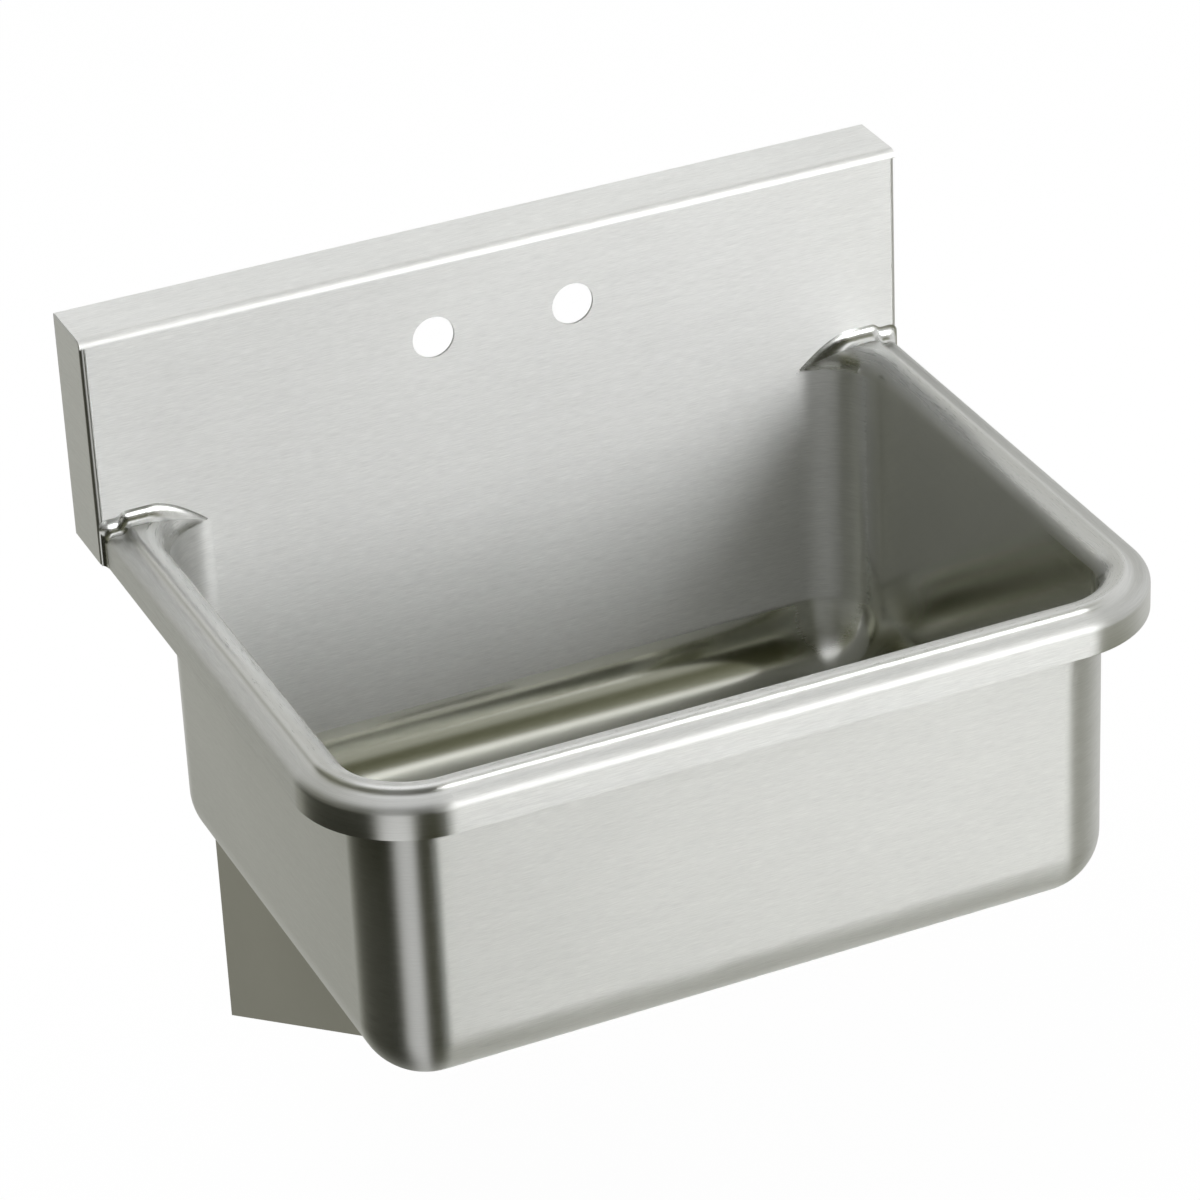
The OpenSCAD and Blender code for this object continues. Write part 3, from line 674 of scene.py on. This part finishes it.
def mottled(name, colour, roughness, scale=60.0, mottling=0.05, metallic=1.0, depth=0.02 * MM):
    """Smooth or cast metal, rubber or fibre with a faint mottling"""
    surface, n = new_material(name)
    mottle = n.noise(n.add("ShaderNodeTexCoord").outputs["Object"], scale, detail=4.0, roughness=0.55)
    share = n.mapped(mottle, NOISE_LOW, NOISE_HIGH, 0.0, 1.0)
    tinted = mixed_colour(n, share, shade(colour, 1 - mottling), shade(colour, 1 + mottling))
    rough = n.mapped(mottle, NOISE_LOW, NOISE_HIGH,
                     roughness * (1 - MOTTLE_ROUGHNESS), roughness * (1 + MOTTLE_ROUGHNESS))
    bump = n.add("ShaderNodeBump", {"Strength": BUMP, "Distance": depth, "Height": mottle})
    shader = n.add("ShaderNodeBsdfPrincipled", {
        "Base Color": tinted, "Metallic": metallic, "Roughness": rough, "Normal": bump.outputs[0]})
    n.add("ShaderNodeOutputMaterial", {"Surface": shader.outputs[0]})
    return surface


def make_materials():
    """Each finish once, under its slot's name"""
    f = finish()
    brushed("brushed_sheet", f.steel, roughness=0.56, anisotropy=0.9, streak=0.12, scattered=0.25)
    brushed("ground_weld", f.steel, roughness=0.24, anisotropy=0.5, streak=0.05)
    brushed("plain_sheet", f.plain, roughness=0.5, anisotropy=0.5, streak=0.03)
    mottled("fasteners", f.zinc, roughness=0.3)
    mottled("polished_steel", f.polished, roughness=0.12, scale=30.0, mottling=0.02)
    mottled("cast_nut", f.cast, roughness=0.45, scale=400.0, mottling=0.12, depth=0.08 * MM)
    mottled("black_rubber", f.rubber, roughness=0.6, scale=300.0, mottling=0.25, metallic=0.0,
            depth=0.05 * MM)
    mottled("fibre", f.fibre, roughness=0.85, scale=500.0, mottling=0.2, metallic=0.0, depth=0.1 * MM)


# The pieces

# Extra edges across the bowl, in corner radii from each side, for the polish to change over
BOWL_CUTS = (1.25, 1.6, 2.0)


def make_bowl():
    """A box with rounded corners and floor edges, a dished drain and a wall inwards"""
    s = sizes()
    under_z = BRACKET_HIGH.z
    centre_y = (BOWL_LOW.y + BOWL_HIGH.y) / 2
    deselect()
    bpy.ops.mesh.primitive_cube_add(size=1, location=(0, centre_y, (under_z + BOWL_HIGH.z) / 2))
    piece = bpy.context.object
    piece.name = piece.data.name = "bowl_shell"
    piece.scale = (2 * BOWL_HIGH.x, BOWL_HIGH.y - BOWL_LOW.y, BOWL_HIGH.z - under_z)
    bpy.ops.object.transform_apply(location=True, rotation=True, scale=True)
    begin_edit(piece)
    select("faces", lies(2, BOWL_HIGH.z))
    bpy.ops.mesh.delete(type="ONLY_FACE")
    select("edges", lambda e: all(near(e.verts[0].co[i], e.verts[1].co[i]) for i in (0, 1)))
    bpy.ops.mesh.bevel(offset=s.corner_r, segments=s.segments, affect="EDGES", clamp_overlap=False)
    select("edges", lies(2, under_z))
    bpy.ops.mesh.bevel(offset=s.floor_r, segments=s.segments, affect="EDGES", clamp_overlap=False)
    dish_floor(under_z, centre_y)
    for step in BOWL_CUTS:
        for side in (-1, 1):
            bpy.ops.mesh.select_all(action="SELECT")
            bisect((side * (BOWL_HIGH.x - step * s.corner_r), 0, 0), (1, 0, 0), threshold=ONE_VERTEX)
    face_up(piece, Vector((0, 0, -1)), lambda f: f.calc_center_median().z < under_z + MM)
    end_edit()
    solidify(piece)
    smooth(piece)
    return piece


def dish_floor(under_z, centre_y):
    """Fills the open mesh's floor up to a circle, and sinks a dish from there to the drain's opening"""
    s = sizes()
    select("faces", lies(2, under_z))
    bpy.ops.mesh.delete(type="ONLY_FACE")
    bpy.ops.mesh.select_mode(type="EDGE")
    bpy.ops.mesh.select_all(action="DESELECT")
    bpy.ops.mesh.primitive_circle_add(
        vertices=4 * s.segments, radius=s.dish_r, location=(0, centre_y, under_z))
    select("edges", lambda e: lies(2, under_z)(e) and len(e.link_faces) < 2)
    bpy.ops.mesh.fill(use_beauty=True)
    select("edges", lambda e: len(e.link_faces) == 1 and near(e.verts[0].co.z, under_z)
           and math.hypot(e.verts[0].co.x, e.verts[0].co.y - centre_y) < s.dish_r + MM)
    seat_r = GASKET_HIGH.x + 2 * s.sheet
    seat_z = BOWL_LOW.z
    rings = [(seat_r, under_z - s.dish_drop), (seat_r - s.sheet, seat_z), (s.drain_d / 2, seat_z)]
    radius = s.dish_r
    height = under_z
    for new_radius, new_height in rings:
        extrude((0, 0, new_height - height))
        share = new_radius / radius
        bpy.ops.transform.resize(value=(share, share, 1), center_override=(0, centre_y, new_height))
        radius = new_radius
        height = new_height


def rim_line():
    """Draws the rim's visible line at the right, from the foot of the roll to the skirt's edge"""
    s = sizes()
    y = BOWL_HIGH.y - s.corner_r
    wall_x = BOWL_HIGH.x
    roll_r = RIM_HIGH.z - BOWL_HIGH.z
    crest_x = wall_x - s.sheet + roll_r
    drop = 2 * s.ogee_r * (1 - math.cos(s.ogee_turn))
    ogee_x = crest_x + 2 * s.ogee_r * math.sin(s.ogee_turn)
    shoulder_x = RIM_HIGH.x - s.shoulder_r
    crest_z = RIM_HIGH.z
    across = (0, 1, 0)
    piece = dot("rim_edge", (wall_x - s.sheet, y, BOWL_HIGH.z))
    spin((crest_x, y, BOWL_HIGH.z), across, math.pi / 2, s.segments)
    spin((crest_x, y, crest_z - s.ogee_r), across, s.ogee_turn, s.segments // 2)
    spin((ogee_x, y, crest_z - drop + s.ogee_r), across, -s.ogee_turn, s.segments // 2)
    extrude((shoulder_x - ogee_x, 0, 0))
    spin((shoulder_x, y, crest_z - drop - s.shoulder_r), across, math.pi / 2, s.segments // 2)
    extrude((0, 0, RIM_LOW.z - (crest_z - drop - s.shoulder_r)))
    return piece, crest_x


def make_rim():
    """The rim's line run round three sides, with the roll turned round the bowl's rear corners"""
    s = sizes()
    axis_x = BOWL_HIGH.x - s.corner_r
    front_y = BOWL_LOW.y + s.corner_r
    rear_y = BOWL_HIGH.y - s.corner_r
    face_y = RIM_HIGH.y
    past_y = face_y + 2 * s.sheet
    piece, crest_x = rim_line()
    up = (0, 0, 1)
    bpy.ops.mesh.select_all(action="SELECT")
    extrude((0, front_y - rear_y, 0))
    spin((axis_x, front_y, 0), up, -math.pi / 2, s.segments)
    extrude((-2 * axis_x, 0, 0))
    spin((-axis_x, front_y, 0), up, -math.pi / 2, s.segments)
    extrude((0, rear_y - front_y, 0))
    for side in (1, -1):
        select("verts", lambda v: near(v.co.y, rear_y) and side * v.co.x > 0
               and side * v.co.x < crest_x + SAME_PLACE)
        spin((side * axis_x, rear_y, 0), up, side * math.pi / 2, s.segments)
        select("faces", lambda f: side * f.calc_center_median().x > 0
               and f.calc_center_median().y > rear_y)
        bisect((0, past_y, 0), (0, 1, 0), clear_outer=True)
        select("verts", lambda v: near(v.co.y, rear_y) and side * v.co.x > crest_x - SAME_PLACE)
        extrude((0, past_y - rear_y, 0))
    bpy.ops.mesh.select_all(action="SELECT")
    bpy.ops.mesh.remove_doubles(threshold=ONE_VERTEX)
    for side in (1, -1):
        select("edges", lambda e: len(e.link_faces) == 1 and all(
            near(v.co.z, RIM_HIGH.z) and side * v.co.x > 0 and v.co.y > rear_y - SAME_PLACE
            for v in e.verts))
        bpy.ops.mesh.edge_face_add()
    face_up(piece, Vector(up), lambda f: near(f.calc_center_median().z, RIM_HIGH.z, MM))
    end_edit()
    solidify(piece)
    begin_edit(piece)
    bpy.ops.mesh.select_all(action="SELECT")
    bisect((0, face_y, 0), (0, 1, 0), clear_outer=True, use_fill=True, threshold=ONE_VERTEX)
    end_edit()
    round_edges(piece, s.edge_r, lies(2, RIM_LOW.z))
    smooth(piece)
    return piece


def make_coves():
    """The two fillets, subdivided to a smooth surface between their sharp edges"""
    piece = merged_copy("cove_welds", "cove_fillets", dissolve=False)
    begin_edit(piece)
    bpy.ops.mesh.select_all(action="SELECT")
    bpy.ops.mesh.tris_convert_to_quads(
        face_threshold=math.radians(COVE_JOIN_BEND), shape_threshold=math.radians(COVE_JOIN_SHAPE))
    if select("edges", lambda e: e.calc_face_angle() > math.radians(COVE_SHARP)):
        bpy.ops.transform.edge_crease(value=1)
    end_edit()
    modify(piece, "SUBSURF", levels=2, render_levels=2)
    smooth(piece, COVE_SHARP)
    return piece


def fold_backsplash():
    """The lip, the return and the face, bent from one sheet"""
    s = sizes()
    half = SPLASH_HIGH.x
    top_z = SPLASH_HIGH.z
    rear_y = SPLASH_HIGH.y
    face_y = SPLASH_LOW.y
    lip_z = top_z - s.lip_h
    across = (1, 0, 0)
    piece = dot("splash_sheet", (-half, rear_y, lip_z))
    extrude((0, 0, top_z - s.rear_bend_r - lip_z))
    spin((-half, rear_y - s.rear_bend_r, top_z - s.rear_bend_r), across, math.pi / 2, s.segments // 3)
    extrude((0, face_y + s.top_bend_r - (rear_y - s.rear_bend_r), 0))
    spin((-half, face_y + s.top_bend_r, top_z - s.top_bend_r), across, math.pi / 2, s.segments // 2)
    extrude((0, 0, SPLASH_LOW.z - (top_z - s.top_bend_r)))
    bpy.ops.mesh.select_all(action="SELECT")
    extrude((2 * half, 0, 0))
    face_up(piece, Vector((0, -1, 0)), lambda f: near(f.calc_center_median().y, face_y))
    end_edit()
    solidify(piece)
    return piece


# How far a cutter reaches past what it cuts away, and through the face, and how far the notch for the
# bowl reaches past the bowl's outer face on each side
CUT_PAST = 100 * MM
CUT_DEPTH = 20 * MM
NOTCH_PLAY = 0.5 * MM


def make_backsplash():
    """The folded sheet, cut back for the end caps and the bowl, with the two faucet holes"""
    s = sizes()
    piece = fold_backsplash()
    half = SPLASH_HIGH.x
    top_z = SPLASH_HIGH.z
    face_y = SPLASH_LOW.y
    end_z = (SPLASH_LOW.z + top_z - s.top_bend_r) / 2 - CUT_PAST / 2
    end_size = (CUT_PAST, CUT_DEPTH, top_z - s.top_bend_r - SPLASH_LOW.z + CUT_PAST)
    for side in (-1, 1):
        cut_box(piece, (side * (half - s.end_bend_r + CUT_PAST / 2), face_y, end_z), end_size)
    inner_r = s.corner_r - s.sheet
    notch_x = BOWL_HIGH.x - s.corner_r + math.sqrt(s.corner_r ** 2 - inner_r ** 2) + NOTCH_PLAY
    cut_box(piece, (0, face_y, BOWL_HIGH.z - CUT_PAST / 2), (2 * notch_x, CUT_DEPTH, CUT_PAST))
    holes = [(side * s.faucet_spacing / 2, face_y, top_z - s.faucet_drop) for side in (-1, 1)]
    for place in holes:
        cut(piece, lambda: bpy.ops.mesh.primitive_cylinder_add(
            vertices=4 * s.segments, radius=s.faucet_d / 2, depth=CUT_DEPTH, location=place,
            rotation=(math.pi / 2, 0, 0)))

    def round_a_hole(edge):
        return any(all(near(math.hypot(v.co.x - x, v.co.z - z), s.faucet_d / 2, 5 * SAME_PLACE)
                       for v in edge.verts) for x, _, z in holes)
    round_edges(piece, s.edge_r, round_a_hole)
    smooth(piece)
    return piece


class PieceOperator:
    """What the operators for the pieces and for the stage share"""

    bl_options = {"REGISTER", "UNDO"}


class SINK_OT_bowl(PieceOperator, bpy.types.Operator):
    """Models the bowl with its coved floor and dished drain"""

    bl_idname = "sink.bowl"
    bl_label = "Bowl"

    def execute(self, context):
        piece = make_bowl()
        brush(piece, round_the_bowl, bowl_polish)
        settle(piece, "sink", ["bowl"], "brushed_sheet")
        return {"FINISHED"}


class SINK_OT_rim(PieceOperator, bpy.types.Operator):
    """Models the ogee rim round the front and both sides"""

    bl_idname = "sink.rim"
    bl_label = "Rim"

    def execute(self, context):
        piece = make_rim()
        brush(piece, round_the_bowl, rim_polish)
        settle(piece, "sink", ["rim"], "brushed_sheet")
        return {"FINISHED"}


class SINK_OT_coves(PieceOperator, bpy.types.Operator):
    """Smooths the ground coves between the rim and the backsplash"""

    bl_idname = "sink.coves"
    bl_label = "Coves"

    def execute(self, context):
        piece = make_coves()
        brush(piece, round_the_bowl)
        settle(piece, "sink", ["cove_welds"], "ground_weld")
        return {"FINISHED"}


class SINK_OT_backsplash(PieceOperator, bpy.types.Operator):
    """Models the backsplash with its folded return and faucet holes"""

    bl_idname = "sink.backsplash"
    bl_label = "Backsplash"

    def execute(self, context):
        piece = make_backsplash()
        brush(piece, straight(0), bend_polish)
        settle(piece, "sink", ["backsplash"], "brushed_sheet")
        return {"FINISHED"}


class SINK_OT_end_caps(PieceOperator, bpy.types.Operator):
    """Finishes the two end caps of the return"""

    bl_idname = "sink.end_caps"
    bl_label = "End caps"

    def execute(self, context):
        for node in ("end_cap_left", "end_cap_right"):
            piece = finished_copy(node, f"{node}_sheet", "sink", "brushed_sheet")
            brush(piece, straight(1), lambda vertex: OUTSIDE_POLISH)
        return {"FINISHED"}


class SINK_OT_supports(PieceOperator, bpy.types.Operator):
    """Finishes the brackets and the wall rail"""

    bl_idname = "sink.supports"
    bl_label = "Brackets and rail"

    def execute(self, context):
        for node, axis in (("bracket_left", 1), ("bracket_right", 1), ("wall_rail", 0)):
            piece = finished_copy(node, f"{node}_sheet", "sink", "plain_sheet", sizes().edge_r)
            brush(piece, straight(axis))
        return {"FINISHED"}


# Rounding of the edges of fasteners and of the drain fitting
SMALL_ROUNDING = 0.2 * MM


class SINK_OT_fasteners(PieceOperator, bpy.types.Operator):
    """Finishes the screws, studs, nuts and washers"""

    bl_idname = "sink.fasteners"
    bl_label = "Fasteners"

    def execute(self, context):
        for node in ("rail_screws", "rail_washers", "bracket_screws", "bracket_wall_washers",
                     "bowl_studs", "stud_washers", "stud_nuts"):
            finished_copy(node, f"{node}_steel", "sink", "fasteners", SMALL_ROUNDING)
        return {"FINISHED"}


class SINK_OT_strainer(PieceOperator, bpy.types.Operator):
    """Finishes the drain fitting"""

    bl_idname = "sink.strainer"
    bl_label = "Strainer"

    def execute(self, context):
        for node, slot in (
                ("strainer_body", "polished_steel"),
                ("strainer_gasket", "black_rubber"),
                ("friction_washer", "fibre"),
                ("strainer_locknut", "cast_nut")):
            finished_copy(node, f"{node}_finish", "sink", slot, SMALL_ROUNDING)
        return {"FINISHED"}


class SINK_OT_basket(PieceOperator, bpy.types.Operator):
    """Finishes the lift-out basket, its post and its stopper"""

    bl_idname = "sink.basket"
    bl_label = "Basket"

    def execute(self, context):
        for node, slot in (
                ("strainer_basket", "polished_steel"),
                ("basket_post", "polished_steel"),
                ("basket_stopper", "black_rubber")):
            finished_copy(node, f"{node}_finish", "basket", slot)
        return {"FINISHED"}


# The studio

# The camera's place, its angles in degrees, its lens and film in millimetres, and how far it sees
CAMERA_PLACE = (-1.1427, -2.8421, 1.4887)
CAMERA_AZIMUTH = -23.323
CAMERA_ELEVATION = 29.949
CAMERA_ROLL = -2.679
CAMERA_LENS = 151.4
CAMERA_FILM = 36
CAMERA_REACH = 50


def make_camera():
    """The photograph's viewing angle and lens"""
    camera = bpy.data.objects.new("camera", bpy.data.cameras.new("camera"))
    bpy.context.scene.collection.objects.link(camera)
    camera.data.lens = CAMERA_LENS
    camera.data.sensor_width = CAMERA_FILM
    camera.data.clip_end = CAMERA_REACH
    turn = (Matrix.Rotation(math.radians(CAMERA_AZIMUTH), 4, "Z")
            @ Matrix.Rotation(math.radians(90 - CAMERA_ELEVATION), 4, "X")
            @ Matrix.Rotation(math.radians(CAMERA_ROLL), 4, "Z"))
    camera.matrix_world = Matrix.Translation(CAMERA_PLACE) @ turn
    bpy.context.scene.camera = camera


# What the metal sees round the studio at each compass angle: degrees from the front, level
STUDIO_UNDER = [
    (-180, 0.6), (-157, 0.5), (-147, 0.33), (-130, 0.012), (-60, 0.012), (-47, 0.75), (-26, 0.75),
    (-15, 0.03), (9, 0.03), (22, 0.14), (60, 0.2), (120, 0.6), (180, 0.6),
]
STUDIO_LOW = [
    (-180, 0.6), (-157, 0.55), (-147, 0.45), (-130, 0.012), (-60, 0.012), (-47, 0.8), (-26, 0.8),
    (-15, 0.03), (9, 0.03), (22, 0.8), (60, 0.85), (120, 0.8), (150, 0.75), (180, 0.6),
]
STUDIO_MIDDLE = [
    (-180, 0.62), (-152, 0.72), (-135, 0.22), (-66, 0.06), (-50, 0.02), (6, 0.02), (20, 0.42), (60, 0.66),
    (110, 0.8), (160, 0.58), (180, 0.58),
]
STUDIO_TOP = [
    (-180, 0.7), (-120, 0.5), (-70, 0.12), (-45, 0.04), (5, 0.04), (20, 0.1), (70, 0.3), (110, 0.85),
    (160, 0.88), (180, 0.7),
]
# Where each higher ring takes over, as heights on a sphere of radius 1
STUDIO_RISES = ((-0.3, -0.08, STUDIO_LOW), (0.1, 0.3, STUDIO_MIDDLE), (0.62, 0.78, STUDIO_TOP))

# The studio's dark cards are a little olive, and its white ones are neutral: the share of red, green
# and blue that the darkest lose, how fast that fades, and the power that warms all that isn't white
CARD_LOSS = (0.0, -0.02, 0.45)
CARD_FADE = 4
CARD_WARMTH = 1.08

# Each softbox: where it hangs, from which cosine it shows to which it is full
KEY_BOX = ((0.393, -0.882, 0.259), 0.965, 0.99)
TOP_BOX = ((0.0, 0.139, 0.99), 0.885, 0.935)

FLOOR_SIZE = 14
FLOOR_COLOUR = (0.9, 0.9, 0.9, 1)

# The lamps' names, places and shares of the main lamp's power, their size, and where they aim
LAMPS = (("lamp_left", (-1.6, -1.8, 2.6), 1.0), ("lamp_right", (2.2, -1.6, 1.8), 0.5))
LAMP_SIZE = 2.0
LAMP_AIM = Vector((0, -0.25, -0.2))


def studio_ring(n, share, levels):
    """One ring of the studio, as a colour ramp over the compass angle"""
    ramp = n.add("ShaderNodeValToRGB", {"Fac": share})
    ramp.color_ramp.interpolation = "EASE"
    stops = ramp.color_ramp.elements
    stops.remove(stops[-1])
    for i, (angle, level) in enumerate(levels):
        stop = stops[0] if i == 0 else stops.new((angle + 180) / 360)
        stop.position = (angle + 180) / 360
        stop.color = (*[level * (1 - loss * (1 - level) ** CARD_FADE) for loss in CARD_LOSS], 1)
    return ramp.outputs["Color"]


def softbox(n, place, box, level):
    """How strongly a round softbox shows in a direction"""
    towards, edge, full = box
    facing = n.add("ShaderNodeVectorMath", {0: place, 1: towards}, operation="DOT_PRODUCT").outputs["Value"]
    return n.mapped(facing, edge, full, 0.0, level, "SMOOTHSTEP")


def seen_directly(n):
    """1 for rays from the camera, also through what is clear, and 0 for all others"""
    rays = n.add("ShaderNodeLightPath")
    return n.maths("MAXIMUM", rays.outputs["Is Camera Ray"], rays.outputs["Is Transmission Ray"])


def make_world():
    """White to the camera, and to the metal a pale studio with dark cards on its left and in front"""
    world = bpy.data.worlds.new("studio")
    bpy.context.scene.world = world
    world.use_nodes = True
    world.node_tree.nodes.clear()
    n = Nodes(world.node_tree)
    place = n.add("ShaderNodeTexCoord").outputs["Generated"]
    split = n.add("ShaderNodeSeparateXYZ", {0: place})
    azimuth = n.maths("ARCTAN2", split.outputs["X"], n.maths("MULTIPLY", split.outputs["Y"], -1.0))
    share = n.mapped(azimuth, -math.pi, math.pi, 0.0, 1.0)
    ring = studio_ring(n, share, STUDIO_UNDER)
    for low, high, levels in STUDIO_RISES:
        rise = n.mapped(split.outputs["Z"], low, high, 0.0, 1.0, "SMOOTHSTEP")
        ring = mixed_colour(n, rise, ring, studio_ring(n, share, levels))
    boxes = n.maths("ADD", softbox(n, place, KEY_BOX, studio().key_level),
                    softbox(n, place, TOP_BOX, studio().top_level))
    neutral = n.add("ShaderNodeSeparateColor", {
        0: mixed_colour(n, n.maths("MINIMUM", boxes, 1.0), ring, WHITE)})
    warmed = n.add("ShaderNodeCombineColor", {
        0: neutral.outputs["Red"], 1: neutral.outputs["Green"],
        2: n.maths("POWER", neutral.outputs["Blue"], CARD_WARMTH)})
    cards = n.add("ShaderNodeBackground", {
        "Color": warmed.outputs[0], "Strength": n.maths("MAXIMUM", boxes, 1.0)})
    white = n.add("ShaderNodeBackground", {"Color": WHITE, "Strength": 1.0})
    fill = n.add("ShaderNodeBackground", {"Color": WHITE, "Strength": studio().world_fill})
    rays = n.add("ShaderNodeLightPath")
    by_metal = n.add("ShaderNodeMixShader", {
        0: rays.outputs["Is Glossy Ray"], 1: fill.outputs[0], 2: cards.outputs[0]})
    by_camera = n.add("ShaderNodeMixShader", {
        0: seen_directly(n), 1: by_metal.outputs[0], 2: white.outputs[0]})
    n.add("ShaderNodeOutputWorld", {"Surface": by_camera.outputs[0]})


def make_floor():
    """A pale floor that keeps the sink's soft shadow"""
    deselect()
    height = BRACKET_LOW.z - studio().floor_drop
    bpy.ops.mesh.primitive_plane_add(size=FLOOR_SIZE, location=(0, 0, height))
    floor = bpy.context.object
    floor.name = "floor"
    surface, n = new_material("floor")
    matt = n.add("ShaderNodeBsdfDiffuse", {"Color": FLOOR_COLOUR})
    glow = n.add("ShaderNodeEmission", {"Color": WHITE, "Strength": 1.0})
    share = n.maths("MULTIPLY", seen_directly(n), 1 - studio().shadow)
    mixed = n.add("ShaderNodeMixShader", {0: share, 1: matt.outputs[0], 2: glow.outputs[0]})
    n.add("ShaderNodeOutputMaterial", {"Surface": mixed.outputs[0]})
    floor.data.materials.append(surface)
    floor.visible_glossy = False


def make_lamp(name, place, power):
    """A square lamp that aims at the bowl and that the metal doesn't reflect"""
    lamp = bpy.data.objects.new(name, bpy.data.lights.new(name, "AREA"))
    bpy.context.scene.collection.objects.link(lamp)
    lamp.data.size = LAMP_SIZE
    lamp.data.energy = power
    lamp.location = place
    lamp.rotation_euler = (LAMP_AIM - Vector(place)).to_track_quat("-Z", "Y").to_euler()
    lamp.visible_glossy = False


class SINK_OT_studio(PieceOperator, bpy.types.Operator):
    """Sets up the camera, the world, the floor and the lamps"""

    bl_idname = "sink.studio"
    bl_label = "Studio"

    def execute(self, context):
        make_camera()
        make_world()
        make_floor()
        for name, place, share in LAMPS:
            make_lamp(name, place, studio().lamp_power * share)
        context.scene.view_settings.view_transform = "Standard"
        return {"FINISHED"}


OPERATORS = (
    SINK_OT_bowl, SINK_OT_rim, SINK_OT_coves, SINK_OT_backsplash, SINK_OT_end_caps,
    SINK_OT_supports, SINK_OT_fasteners, SINK_OT_strainer, SINK_OT_basket, SINK_OT_studio,
)


class SINK_PT_panel(bpy.types.Panel):
    """Lists the tools and sizes of the sink"""

    bl_idname = "SINK_PT_panel"
    bl_label = "Hand sink"
    bl_space_type = "VIEW_3D"
    bl_region_type = "UI"
    bl_category = "Sink"

    def draw(self, context):
        for operator in OPERATORS:
            self.layout.operator(operator.bl_idname)
        for group in (context.scene.sink_sizes, context.scene.sink_finish, context.scene.sink_studio):
            for name in group.bl_rna.properties.keys():
                if name not in ("rna_type", "name"):
                    self.layout.prop(group, name)


GROUPS = (SinkSizes, SinkFinish, SinkStudio)


def register():
    for item in GROUPS + OPERATORS + (SINK_PT_panel,):
        bpy.utils.register_class(item)
    bpy.types.Scene.sink_sizes = PointerProperty(type=SinkSizes)
    bpy.types.Scene.sink_finish = PointerProperty(type=SinkFinish)
    bpy.types.Scene.sink_studio = PointerProperty(type=SinkStudio)


def unregister():
    del bpy.types.Scene.sink_sizes
    del bpy.types.Scene.sink_finish
    del bpy.types.Scene.sink_studio
    for item in reversed(GROUPS + OPERATORS + (SINK_PT_panel,)):
        bpy.utils.unregister_class(item)


def main():
    register()
    bpy.ops.sink.bowl()
    bpy.ops.sink.rim()
    bpy.ops.sink.coves()
    bpy.ops.sink.backsplash()
    bpy.ops.sink.end_caps()
    bpy.ops.sink.supports()
    bpy.ops.sink.fasteners()
    bpy.ops.sink.strainer()
    bpy.ops.sink.basket()
    bpy.ops.sink.studio()


if __name__ == "__main__":
    main()
